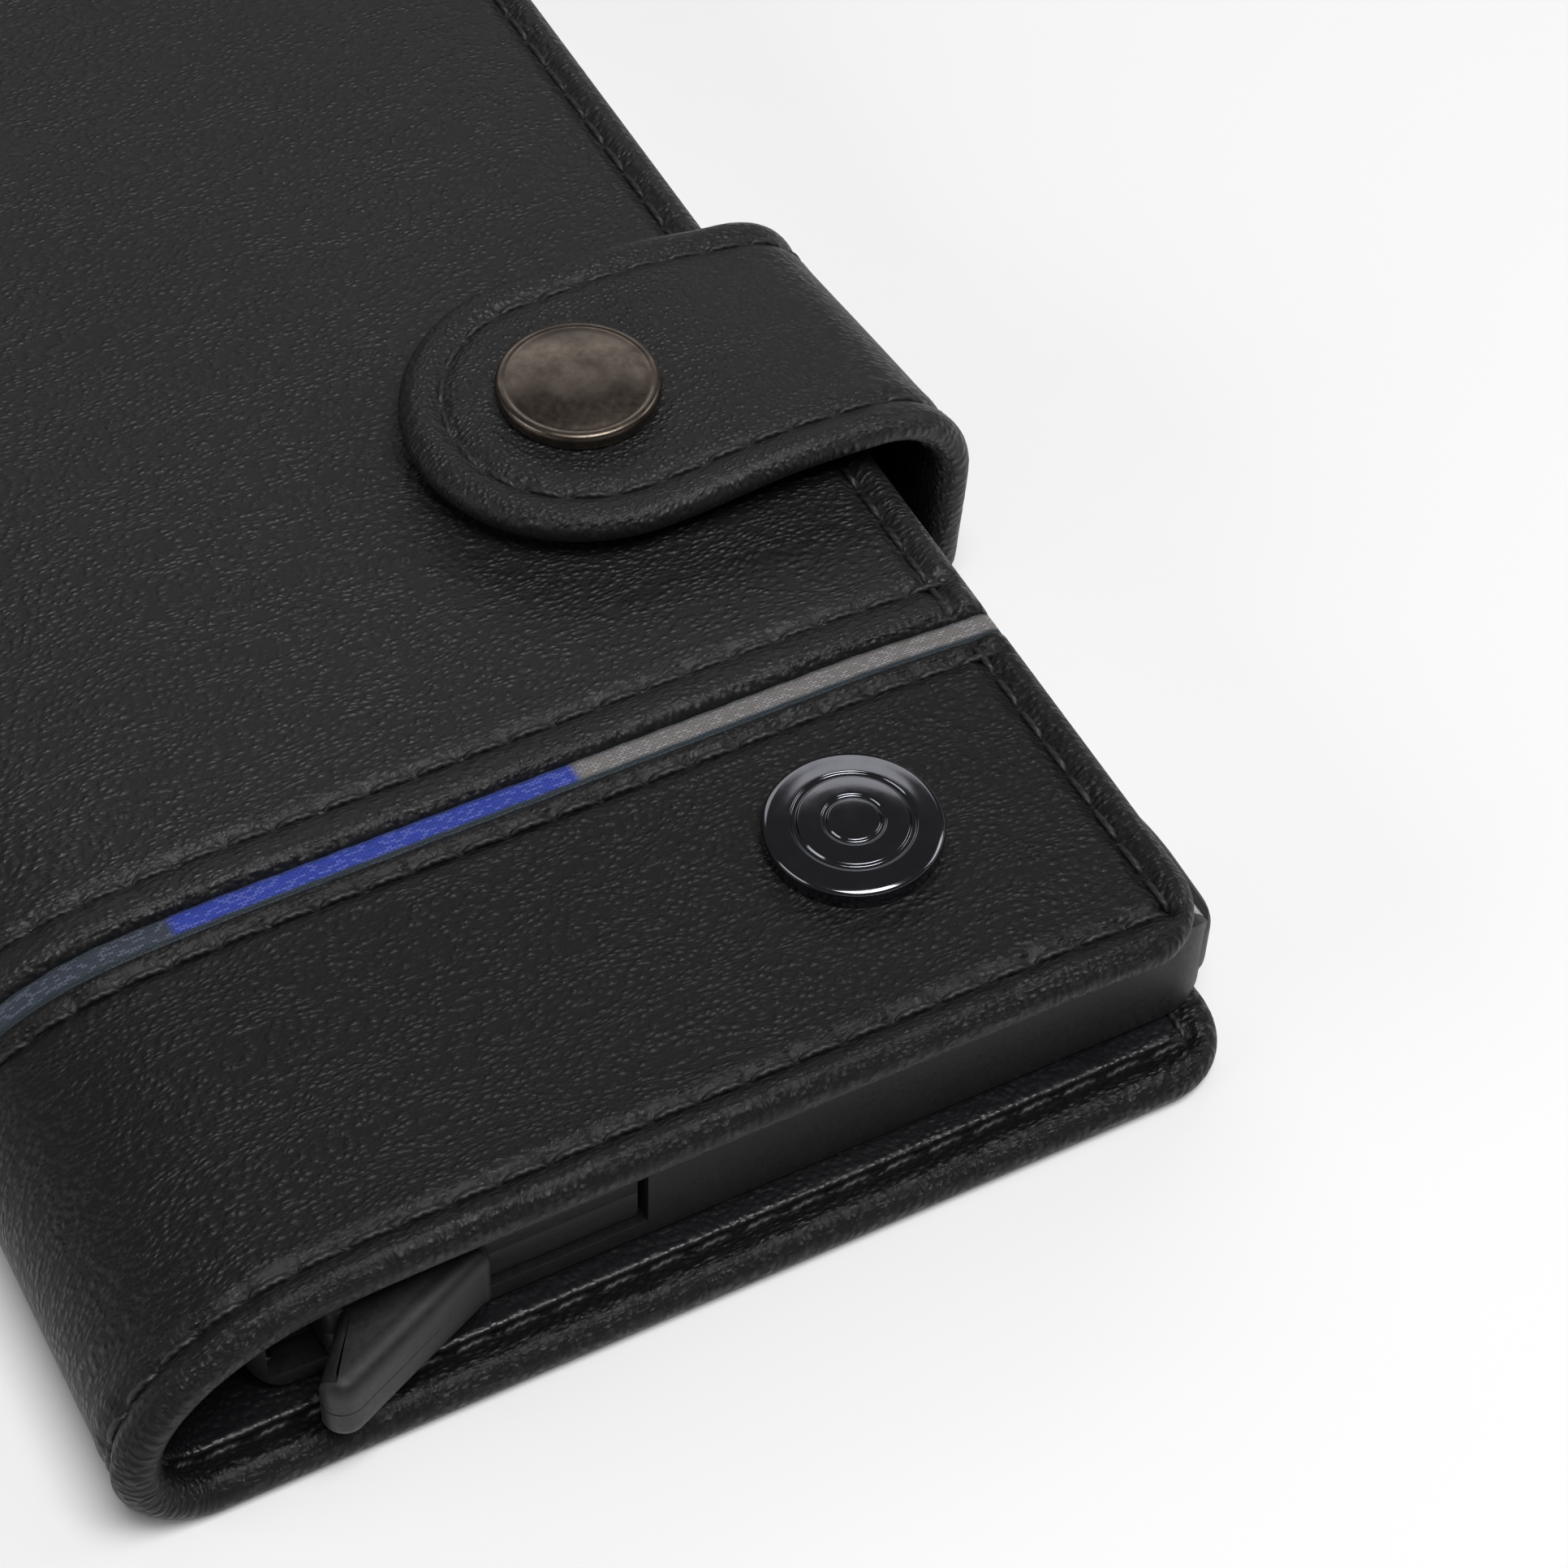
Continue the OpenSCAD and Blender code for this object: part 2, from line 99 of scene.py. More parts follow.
# ---------------------------------------------------------------- the hide's path
# from the front's open edge, round the soft fold and the tight fold of the spine, to the back's open edge
turn = np.linspace(0, math.pi / 2, 181)
path_x = np.concatenate([[FX], XT - FOLD_W * np.sin(turn), XS - FOLD_R * np.cos(turn), [XR]])
path_z = np.concatenate([[Z_TOP], FOLD_R + FOLD_H * np.cos(turn), FOLD_R - FOLD_R * np.sin(turn), [0]])
path_a = np.concatenate(
    [[math.pi / 2], math.pi - np.arctan2(np.cos(turn) / FOLD_H, np.sin(turn) / FOLD_W), math.pi + turn, [1.5 * math.pi]]
)
path_s = np.concatenate([[0], np.cumsum(np.hypot(np.diff(path_x), np.diff(path_z)))])
S1 = FX - XT
S4 = float(path_s[-2])
S5 = float(path_s[-1])


def hide_point(s, h):
    """x and z of a point s mm along the hide from the front's open edge, h mm out of its outer face."""
    s = np.asarray(s, float)
    h = np.asarray(h, float) + 0 * s
    a = np.interp(s, path_s, path_a)
    # the front cover stands slightly proud in the middle
    dome = 0.5 * smooth(s / 11) * smooth((S1 + 6 - s) / 14)
    return np.interp(s, path_s, path_x) + np.cos(a) * h, np.interp(s, path_s, path_z) + np.sin(a) * h + dome


def foot_shift(s, y):
    """The back cover reaches further down than the front, so the foot slopes round the spine."""
    return (YB - YF) * smooth((s - S1 + 4) / (S4 - S1 + 2)) * smooth((YF + 18 - y) / 18)


def smooth(t):
    t = np.clip(t, 0, 1)
    return t * t * (3 - 2 * t)


WAVES = 14


def waves(a, b, seed, low, high):
    """Smooth irregular field of about unit height over two coordinates, in mm."""
    rng = np.random.default_rng(seed)
    out = 0.0
    for _ in range(WAVES):
        k = rng.uniform(low, high)
        t = rng.uniform(0, 2 * math.pi)
        p = rng.uniform(0, 2 * math.pi)
        out = out + np.sin(2 * math.pi * k * (a * math.cos(t) + b * math.sin(t)) + p)
    return out / math.sqrt(WAVES / 2)


def end_round(d, r):
    """0 at an edge, 1 from r inside it, along a quarter circle."""
    t = np.clip(d / r, 0, 1)
    return np.sqrt(np.clip(1 - (1 - t) ** 2, 0, 1))


def outline_distance(s, y):
    """Distance in from the hide's outline, whose four corners are rounded."""
    dx = np.minimum(s, S5 - s)
    dy = np.minimum(y - YF, YH - y)
    corner = CORNER - np.hypot(CORNER - dx, CORNER - dy)
    return np.where((dx < CORNER) & (dy < CORNER), corner, np.minimum(dx, dy))


EDGE_STEPS = [0, 0.03, 0.1, 0.22, 0.4, 0.65, 0.95, 1.3, 1.65, 1.95, 2.2, 2.4, 2.6, 2.85, 3.15, 3.5]


def spaced(a, b, step):
    lo = [a + e for e in EDGE_STEPS]
    hi = [b - e for e in EDGE_STEPS][::-1]
    n = max(2, int(round((hi[0] - lo[-1]) / step)))
    mid = list(np.linspace(lo[-1], hi[0], n + 1))[1:-1]
    return np.array(lo + mid + hi)


def hide_grid(s_list, y_list):
    """Grid over the hide whose ends follow the rounded corners."""
    s, y = np.meshgrid(s_list, y_list, indexing="ij")
    dy = np.minimum(y - YF, YH - y)
    inset = np.where(dy < CORNER, CORNER - np.sqrt(np.clip(CORNER**2 - (CORNER - dy) ** 2, 0, None)), 0)
    near_front = np.clip(1 - s / 14, 0, 1) ** 2
    near_back = np.clip(1 - (S5 - s) / 14, 0, 1) ** 2
    return s + inset * near_front - inset * near_back, y


# rows of stitches on the hide: (direction, fixed coordinate, start, end)
ROWS_PANEL = [
    ("s", YH - ROW_FRONT, ROW_FRONT, S5 - ROW_BACK),
    ("s", PANEL_Y + ROW_FOLD, 1.2, S5 - ROW_BACK),
    ("y", ROW_FRONT, PANEL_Y + 0.4, YH - ROW_FRONT),
    ("y", S5 - ROW_BACK, PANEL_Y + 0.4, YH - ROW_FRONT),
]
ROWS_BAND = [
    ("s", YF + ROW_FRONT, ROW_FRONT, S5 - ROW_BACK),
    ("s", BAND_Y - ROW_BAND, 1.2, S5 - ROW_BACK),
    ("y", ROW_FRONT, YF + ROW_FRONT, BAND_Y - 0.2),
    ("y", S5 - ROW_BACK, YF + ROW_FRONT, BAND_Y - 0.2),
]


def row_holes(row):
    _, _, a, b = row
    n = max(1, int(round((b - a) / PITCH)))
    return np.linspace(a, b, n + 1)


def row_relief(s, y, rows, depth=0.27, hole=0.24):
    """How rows of stitches pull the leather down, and pucker it at each hole."""
    out = np.zeros_like(s)
    for row in rows:
        along, across = (s, y) if row[0] == "s" else (y, s)
        _, fixed, a, b = row
        holes = row_holes(row)
        p = holes[1] - holes[0]
        inside = smooth((along - a + 1.0) / 1.0) * smooth((b + 1.0 - along) / 1.0)
        off = across - fixed
        out -= depth * np.exp(-((off / 0.5) ** 2)) * inside
        out += 0.10 * np.exp(-(((np.abs(off) - 1.15) / 0.5) ** 2)) * inside
        t = (along - a) / p
        nearest = (t - np.round(t)) * p
        clear = inside * ((along > a - 0.5) & (along < b + 0.5))
        out -= hole * np.exp(-((nearest / 0.42) ** 2) - (off / 0.45) ** 2) * clear
        # fine pull lines on either side of each hole
        out -= 0.06 * np.exp(-((nearest / 0.3) ** 2) - ((np.abs(off) - 0.9) / 0.6) ** 2) * clear
    return out


def ribs(along, d, seed, width=0.8, high=0.05):
    """Small gathers across a turned edge."""
    wobble = waves(along, 0 * along, seed, 0.05, 0.3)
    ripple = np.sin(2 * math.pi * along / RIB_PITCH + 1.6 * wobble)
    return high * ripple * np.exp(-((d / width) ** 2)) * (0.6 + 0.4 * np.sin(wobble * 2))


# ---------------------------------------------------------------- mesh helpers
def mesh_object(name, verts, faces):
    me = bpy.data.meshes.new(name)
    me.from_pydata([tuple(v) for v in verts], [], [tuple(f) for f in faces])
    me.update()
    me.polygons.foreach_set("use_smooth", [True] * len(me.polygons))
    ob = bpy.data.objects.new(name, me)
    bpy.context.scene.collection.objects.link(ob)
    return ob


def store(ob, name, values):
    """Keeps a flat coordinate for each vertex, which the materials read in mm."""
    at = ob.data.attributes.new(name, "FLOAT_VECTOR", "POINT")
    at.data.foreach_set("vector", np.asarray(values, np.float32).ravel())


def grid_faces(n, m, base=0, flip=False):
    i, j = np.meshgrid(np.arange(n - 1), np.arange(m - 1), indexing="ij")
    a = base + i * m + j
    quads = np.stack([a, a + 1, a + m + 1, a + m], -1).reshape(-1, 4)
    return quads[:, ::-1] if flip else quads


def closed_sheet(name, s, y, h_out, h_in, place):
    """A closed skin between two heights over one grid. Its rim is shared where the heights meet."""
    n, m = s.shape
    xo, zo = place(s, h_out)
    xi, zi = place(s, h_in)
    ys = y + foot_shift(s, y)
    top = np.stack([xo, ys, zo], -1).reshape(-1, 3)
    low = np.stack([xi, ys, zi], -1).reshape(-1, 3)
    verts = np.concatenate([top, low]) * MM
    flat = np.concatenate(
        [np.stack([s, y, h_out], -1).reshape(-1, 3), np.stack([s, y, h_in], -1).reshape(-1, 3)]
    )
    k = n * m
    faces = list(grid_faces(n, m, 0)) + list(grid_faces(n, m, k, True))
    rim = (
        [i * m for i in range(n)]
        + [(n - 1) * m + j for j in range(1, m)]
        + [i * m + m - 1 for i in range(n - 2, -1, -1)]
        + [j for j in range(m - 2, 0, -1)]
    )
    for a, b in zip(rim, rim[1:] + rim[:1]):
        faces.append([a, b, b + k, a + k])
    ob = mesh_object(name, verts, faces)
    store(ob, "surf", flat)
    weld(ob)
    return ob


def weld(ob, dist=1e-6):
    bm = bmesh.new()
    bm.from_mesh(ob.data)
    bmesh.ops.remove_doubles(bm, verts=bm.verts, dist=dist)
    bmesh.ops.dissolve_degenerate(bm, edges=bm.edges, dist=1e-7)
    bmesh.ops.recalc_face_normals(bm, faces=bm.faces)
    bm.to_mesh(ob.data)
    bm.free()


def sharp_by_angle(ob, degrees=35):
    bm = bmesh.new()
    bm.from_mesh(ob.data)
    for e in bm.edges:
        if len(e.link_faces) == 2 and e.calc_face_angle(0) > math.radians(degrees):
            e.smooth = False
    bm.to_mesh(ob.data)
    bm.free()


def lathe(name, profile, center, segments=128):
    """Turned piece: profile is (radius, height) pairs in mm from the axis round to the axis."""
    pts = [(max(r, 0.0), z) for r, z in profile]
    verts, faces, rings = [], [], []
    for r, z in pts:
        if r < 1e-6:
            rings.append([len(verts)])
            verts.append((center[0], center[1], z))
            continue
        rings.append(list(range(len(verts), len(verts) + segments)))
        for k in range(segments):
            a = 2 * math.pi * k / segments
            verts.append((center[0] + r * math.cos(a), center[1] + r * math.sin(a), z))
    for a, b in zip(rings, rings[1:]):
        for k in range(segments):
            q = (k + 1) % segments
            if len(a) == 1:
                faces.append([a[0], b[k], b[q]])
            elif len(b) == 1:
                faces.append([a[k], b[0], a[q]])
            else:
                faces.append([a[k], b[k], b[q], a[q]])
    ob = mesh_object(name, np.array(verts) * MM, faces)
    weld(ob)
    sharp_by_angle(ob, 50)
    return ob


def eased(points, steps=4):
    """Rounds the corners of a profile given as (r, z, radius)."""
    out = []
    n = len(points)
    for i, p in enumerate(points):
        rad = p[2] if len(p) > 2 else 0
        if rad <= 0 or i in (0, n - 1):
            out.append((p[0], p[1]))
            continue
        a, b, c = (np.array(points[j][:2], float) for j in (i - 1, i, i + 1))
        u, v = a - b, c - b
        lu, lv = np.linalg.norm(u), np.linalg.norm(v)
        t = min(rad, lu * 0.45, lv * 0.45)
        p0, p1 = b + u / lu * t, b + v / lv * t
        for k in range(steps + 1):
            w = k / steps
            out.append(tuple((1 - w) ** 2 * p0 + 2 * w * (1 - w) * b + w**2 * p1))
    return out


def round_polygon(points, steps=6):
    """Closed outline with each corner rounded: points are (x, y, radius)."""
    out, n = [], len(points)
    for i in range(n):
        a, b, c = (np.array(points[j % n][:2], float) for j in (i - 1, i, i + 1))
        r = points[i][2]
        u, v = a - b, c - b
        lu, lv = np.linalg.norm(u), np.linalg.norm(v)
        if r <= 0:
            out.append(b)
            continue
        t = min(r, lu * 0.48, lv * 0.48)
        p0, p1 = b + u / lu * t, b + v / lv * t
        for k in range(steps + 1):
            w = k / steps
            out.append((1 - w) ** 2 * p0 + 2 * w * (1 - w) * b + w**2 * p1)
    return np.array(out)


def loft(name, outline, levels, share=None):
    """Solid from one outline, repeated at (height, inset) levels, with flat ends."""
    share = np.ones(len(outline)) if share is None else share
    n = len(outline)
    nxt, prv = np.roll(outline, -1, 0), np.roll(outline, 1, 0)
    tangent = nxt - prv
    tangent /= np.linalg.norm(tangent, axis=1)[:, None]
    area = 0.5 * np.sum(outline[:, 0] * nxt[:, 1] - nxt[:, 0] * outline[:, 1])
    inward = np.stack([-tangent[:, 1], tangent[:, 0]], 1) * (1 if area > 0 else -1)
    verts, faces = [], []
    for z, inset in levels:
        ring = outline + inward * (inset * share)[:, None]
        verts += [(p[0], p[1], z) for p in ring]
    for k in range(len(levels) - 1):
        for i in range(n):
            j = (i + 1) % n
            faces.append([k * n + i, k * n + j, (k + 1) * n + j, (k + 1) * n + i])
    faces.append(list(range(n))[::-1])
    faces.append([(len(levels) - 1) * n + i for i in range(n)])
    ob = mesh_object(name, np.array(verts) * MM, faces)
    weld(ob)
    sharp_by_angle(ob, 40)
    return ob


def join(obs, name):
    bm = bmesh.new()
    for o in obs:
        me = o.data
        bm.from_mesh(me)
    me = bpy.data.meshes.new(name)
    bm.to_mesh(me)
    bm.free()
    for o in obs:
        bpy.data.objects.remove(o)
    ob = bpy.data.objects.new(name, me)
    bpy.context.scene.collection.objects.link(ob)
    return ob


SHARP = 28


def refined(node, name, width):
    """A copy of a CAD node's mesh with its sharp edges rounded."""
    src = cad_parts[node]
    me = bpy.data.meshes.new(name)
    bm = bmesh.new()
    bm.from_mesh(src.data)
    bmesh.ops.remove_doubles(bm, verts=bm.verts, dist=1e-6)
    bmesh.ops.dissolve_limit(bm, angle_limit=math.radians(0.6), verts=bm.verts, edges=bm.edges)
    sharp = [e for e in bm.edges if len(e.link_faces) == 2 and e.calc_face_angle(0) > math.radians(SHARP)]
    bmesh.ops.bevel(
        bm, geom=sharp, offset=width * MM, offset_type="OFFSET", segments=3, profile=0.5,
        affect="EDGES", clamp_overlap=True,
    )
    bmesh.ops.triangulate(bm, faces=[f for f in bm.faces if len(f.verts) > 4])
    for f in bm.faces:
        f.smooth = True
    bm.to_mesh(me)
    bm.free()
    ob = bpy.data.objects.new(name, me)
    bpy.context.scene.collection.objects.link(ob)
    sharp_by_angle(ob, 32)
    return ob


# ---------------------------------------------------------------- thread
STITCH_RINGS = 9
STITCH_SIDES = 8


def stitch(holes, place, radius=0.24, sink=0.34, lift=0.06, gap=0.14, slant=0.06):
    """Tubes between neighbouring holes. place gives a point for (distance along, sideways, height)."""
    verts, flats, faces = [], [], []
    for k in range(len(holes) - 1):
        a, b = holes[k] + gap, holes[k + 1] - gap
        base = len(verts)
        for i in range(STITCH_RINGS):
            w = i / (STITCH_RINGS - 1)
            t = a + (b - a) * w
            arch = math.sin(math.pi * w) ** 0.45 if 0 < w < 1 else 0.0
            height = -sink + (sink + lift) * arch
            taper = radius * (0.5 + 0.5 * min(1.0, 4.0 * min(w, 1 - w) + 0.25))
            side = slant * (2 * w - 1)
            for q in range(STITCH_SIDES):
                ang = 2 * math.pi * q / STITCH_SIDES
                p = place(t, side + taper * math.cos(ang), height + taper * math.sin(ang))
                verts.append(p)
                flats.append((t, ang, k))
            if i:
                for q in range(STITCH_SIDES):
                    r = (q + 1) % STITCH_SIDES
                    n0, n1 = base + (i - 1) * STITCH_SIDES, base + i * STITCH_SIDES
                    faces.append([n0 + q, n0 + r, n1 + r, n1 + q])
        faces.append([base + q for q in range(STITCH_SIDES)][::-1])
        last = base + (STITCH_RINGS - 1) * STITCH_SIDES
        faces.append([last + q for q in range(STITCH_SIDES)])
    return verts, flats, faces


def thread_object(name, runs):
    verts, flats, faces = [], [], []
    for v, fl, f in runs:
        base = len(verts)
        verts += v
        flats += fl
        faces += [[i + base for i in face] for face in f]
    ob = mesh_object(name, np.array(verts) * MM, faces)
    store(ob, "surf", flats)
    bm = bmesh.new()
    bm.from_mesh(ob.data)
    bmesh.ops.recalc_face_normals(bm, faces=bm.faces)
    bm.to_mesh(ob.data)
    bm.free()
    return ob


def hide_row(row, outer=True):
    direction, fixed, _, _ = row
    base = -0.2 if outer else -COVER_T + 0.16

    def place(t, side, height):
        h = base + height if outer else base - height
        s, y = (t, fixed + side) if direction == "s" else (fixed + side, t)
        x, z = hide_point(np.array([s]), np.array([h]))
        return (float(x[0]), y + float(foot_shift(s, y)), float(z[0]))

    return stitch(row_holes(row), place)


# ---------------------------------------------------------------- materials
def new_material(name):
    mat = bpy.data.materials.new(name)
    mat.use_nodes = True
    nt = mat.node_tree
    nt.nodes.clear()
    out = nt.nodes.new("ShaderNodeOutputMaterial")
    bsdf = nt.nodes.new("ShaderNodeBsdfPrincipled")
    nt.links.new(bsdf.outputs[0], out.inputs[0])
    return mat, nt, bsdf


class Web:
    """Short names for adding and linking shader nodes."""

    def __init__(self, nt):
        self.nt = nt

    def link(self, a, b):
        self.nt.links.new(a, b)

    def value(self, socket, given):
        if isinstance(given, bpy.types.NodeSocket):
            self.link(given, socket)
        else:
            socket.default_value = given

    def math(self, op, a, b=0.0):
        n = self.nt.nodes.new("ShaderNodeMath")
        n.operation = op
        self.value(n.inputs[0], a)
        self.value(n.inputs[1], b)
        return n.outputs[0]

    def mix(self, factor, a, b):
        n = self.nt.nodes.new("ShaderNodeMix")
        n.data_type = "RGBA"
        self.value(n.inputs[0], factor)
        self.value(n.inputs[6], a)
        self.value(n.inputs[7], b)
        return n.outputs[2]

    def remap(self, v, a, b, c, d):
        n = self.nt.nodes.new("ShaderNodeMapRange")
        n.clamp = True
        self.value(n.inputs[0], v)
        for i, x in enumerate((a, b, c, d)):
            n.inputs[i + 1].default_value = x
        return n.outputs[0]

    def noise(self, vector, scale, detail=2.0, rough=0.5):
        n = self.nt.nodes.new("ShaderNodeTexNoise")
        self.link(vector, n.inputs["Vector"])
        n.inputs["Scale"].default_value = scale
        n.inputs["Detail"].default_value = detail
        n.inputs["Roughness"].default_value = rough
        return n

    def voronoi(self, vector, scale, feature="F1", smoothness=None):
        n = self.nt.nodes.new("ShaderNodeTexVoronoi")
        n.feature = feature
        self.link(vector, n.inputs["Vector"])
        n.inputs["Scale"].default_value = scale
        if smoothness is not None and "Smoothness" in n.inputs:
            n.inputs["Smoothness"].default_value = smoothness
        return n

    def scaled(self, vector, scale):
        n = self.nt.nodes.new("ShaderNodeVectorMath")
        n.operation = "MULTIPLY"
        self.link(vector, n.inputs[0])
        n.inputs[1].default_value = scale
        return n.outputs[0]

    def added(self, a, b):
        n = self.nt.nodes.new("ShaderNodeVectorMath")
        n.operation = "ADD"
        self.link(a, n.inputs[0])
        self.link(b, n.inputs[1])
        return n.outputs[0]

    def bump(self, height, strength, distance_mm):
        n = self.nt.nodes.new("ShaderNodeBump")
        n.inputs["Strength"].default_value = strength
        n.inputs["Distance"].default_value = distance_mm * MM
        self.link(height, n.inputs["Height"])
        return n.outputs[0]

    def surf(self):
        n = self.nt.nodes.new("ShaderNodeAttribute")
        n.attribute_type = "GEOMETRY"
        n.attribute_name = "surf"
        return n.outputs["Vector"]

    def place_mm(self):
        n = self.nt.nodes.new("ShaderNodeTexCoord")
        return self.scaled(n.outputs["Object"], (1 / MM, 1 / MM, 1 / MM))

    def split(self, vector):
        n = self.nt.nodes.new("ShaderNodeSeparateXYZ")
        self.link(vector, n.inputs[0])
        return n.outputs


def leather(name, tone, rough, grain=1.0, depth=0.145, along=0.55, shine=0.05, edges=(), gloss=0.36):
    """Pebbled leather: small flattened cells in wavy lines, and gathers along its turned edges."""
    mat, nt, bsdf = new_material(name)
    w = Web(nt)
    co = w.surf()
    drift = w.noise(w.scaled(co, (0.10, 0.22, 0.2)), 1.0, 2.0)
    moved = w.added(co, w.scaled(drift.outputs["Color"], (2.2, 2.2, 2.2)))
    cells = w.voronoi(w.scaled(moved, (along * 2.9 * grain, 2.9 * grain, 1.0)), 1.0, "SMOOTH_F1", 0.3)
    fine = w.voronoi(w.scaled(moved, (3.6 * grain, 5.0 * grain, 2.0)), 1.0, "F1")
    lines = w.noise(w.scaled(moved, (0.55, 2.9 * grain, 0.6)), 1.0, 3.0, 0.6)
    pores = w.noise(co, 7.0, 2.0)
    pebble = w.remap(cells.outputs["Distance"], 0.05, 0.62, 1.0, 0.0)
    small = w.remap(fine.outputs["Distance"], 0.1, 0.75, 1.0, 0.0)
    height = w.math("ADD", w.math("MULTIPLY", pebble, 0.72), w.math("MULTIPLY", small, 0.16))
    height = w.math("ADD", height, w.math("MULTIPLY", lines.outputs["Fac"], 0.36))
    height = w.math("ADD", height, w.math("MULTIPLY", pores.outputs["Fac"], 0.08))
    grained = height
    if edges:
        s, y, _ = w.split(co)
        wobble = w.noise(w.scaled(co, (0.7, 0.7, 0.7)), 1.0, 2.0)
        for axis, at, width in edges:
            here, other = (s, y) if axis == "s" else (y, s)
            near = w.remap(w.math("ABSOLUTE", w.math("SUBTRACT", here, at)), 0.3, width, 1.0, 0.0)
            turn_of = w.math("ADD", w.math("MULTIPLY", other, 10.5), w.math("MULTIPLY", wobble.outputs["Fac"], 14.0))
            rib = w.math("MULTIPLY", w.math("SINE", turn_of, 0.0), w.math("MULTIPLY", near, 0.16))
            height = w.math("ADD", height, rib)
    normal = w.bump(height, 1.0, depth)
    patch = w.noise(w.scaled(co, (0.06, 0.06, 0.06)), 1.0, 3.0)
    # colour follows the grain's height: its hollows are painted darker and its tops lighter, painted shade and painted
    # highlight on the grain
    grain_shade_and_highlight = w.remap(grained, 0.35, 1.0, 0.0, 1.0)
    dark = (tone[0] * 0.6, tone[1] * 0.6, tone[2] * 0.62, 1)
    light = (tone[0] * 1.25, tone[1] * 1.25, tone[2] * 1.25, 1)
    colour = w.mix(grain_shade_and_highlight, dark, light)
    w.link(colour, bsdf.inputs["Base Color"])
    worn = w.remap(patch.outputs["Fac"], 0.3, 0.7, -0.04, 0.05)
    r = w.math("ADD", w.remap(grained, 0.3, 1.0, rough + 0.14, rough - 0.07), worn)
    w.link(r, bsdf.inputs["Roughness"])
    w.link(normal, bsdf.inputs["Normal"])
    bsdf.inputs["Specular IOR Level"].default_value = gloss
    bsdf.inputs["Coat Weight"].default_value = shine
    bsdf.inputs["Coat Roughness"].default_value = 0.3
    return mat


def thread_material():
    mat, nt, bsdf = new_material("bonded_thread")
    w = Web(nt)
    x, y, z = w.split(w.surf())
    twist = w.math("SINE", w.math("ADD", w.math("MULTIPLY", x, 9.0), w.math("MULTIPLY", y, 2.0)))
    fuzz = w.noise(w.place_mm(), 9.0, 2.0)
    height = w.math("ADD", w.math("MULTIPLY", twist, 0.5), w.math("MULTIPLY", fuzz.outputs["Fac"], 0.5))
    # colour follows the twist's height: grooves painted darker and ridges lighter, painted shade and painted highlight;
    # the fuzz part is random tone
    colour = w.mix(w.remap(height, -0.3, 0.8, 0.0, 1.0), (0.003, 0.003, 0.0035, 1), (0.011, 0.011, 0.012, 1))
    w.link(colour, bsdf.inputs["Base Color"])
    w.link(w.remap(fuzz.outputs["Fac"], 0.3, 0.7, 0.42, 0.62), bsdf.inputs["Roughness"])
    w.link(w.bump(height, 0.6, 0.05), bsdf.inputs["Normal"])
    return mat


def ribbon_material(edge_lo, edge_hi):
    """Woven ribbon: painted highlights on the dashed weft, a dark selvedge, and three colours along its length."""
    mat, nt, bsdf = new_material("woven_ribbon")
    w = Web(nt)
    co = w.surf()
    s, y, _ = w.split(co)
    brick = nt.nodes.new("ShaderNodeTexBrick")
    sway = w.scaled(w.noise(co, 0.5, 1.0).outputs["Color"], (0.3, 0.3, 0.3))
    w.link(w.added(co, sway), brick.inputs["Vector"])
    brick.offset = 0.5
    brick.inputs["Scale"].default_value = 1.0
    brick.inputs["Mortar Size"].default_value = 0.035
    brick.inputs["Mortar Smooth"].default_value = 1.0
    brick.inputs["Brick Width"].default_value = 0.42
    brick.inputs["Row Height"].default_value = 0.17
    brick.inputs["Bias"].default_value = 0.0
    brick.inputs["Color1"].default_value = (0.25, 0.25, 0.25, 1)
    brick.inputs["Color2"].default_value = (1, 1, 1, 1)
    brick.inputs["Mortar"].default_value = (0, 0, 0, 1)
    tone = nt.nodes.new("ShaderNodeRGBToBW")
    w.link(brick.outputs["Color"], tone.inputs[0])
    yarn = tone.outputs[0]
    grey, blue, slate = (0.24, 0.222, 0.212, 1), (0.012, 0.045, 0.45, 1), (0.028, 0.04, 0.065, 1)
    to_blue = w.remap(s, 28.2, 28.8, 0.0, 1.0)
    to_slate = w.remap(s, 53.6, 54.2, 0.0, 1.0)
    body = w.mix(to_slate, w.mix(to_blue, grey, blue), slate)
    body = w.mix(w.remap(yarn, 0.0, 1.0, 0.55, 0.0), body, (0.01, 0.012, 0.02, 1))
    # the tops of the weft dashes are painted paler: painted highlight
    painted_weft_highlight = w.math("GREATER_THAN", yarn, 0.72)
    body = w.mix(w.math("MULTIPLY", painted_weft_highlight, 0.10), body, (0.55, 0.60, 0.80, 1))
    low_edge = w.remap(y, edge_lo + 0.35, edge_lo + 0.6, 1.0, 0.0)
    high_edge = w.remap(y, edge_hi - 0.3, edge_hi - 0.12, 0.0, 0.6)
    selvedge = w.math("MAXIMUM", low_edge, high_edge)
    body = w.mix(selvedge, body, (0.006, 0.016, 0.024, 1))
    w.link(body, bsdf.inputs["Base Color"])
    w.link(w.remap(yarn, 0.0, 1.0, 0.75, 0.42), bsdf.inputs["Roughness"])
    w.link(w.bump(yarn, 0.8, 0.09), bsdf.inputs["Normal"])
    bsdf.inputs["Sheen Weight"].default_value = 0.08
    bsdf.inputs["Sheen Roughness"].default_value = 0.4
    return mat


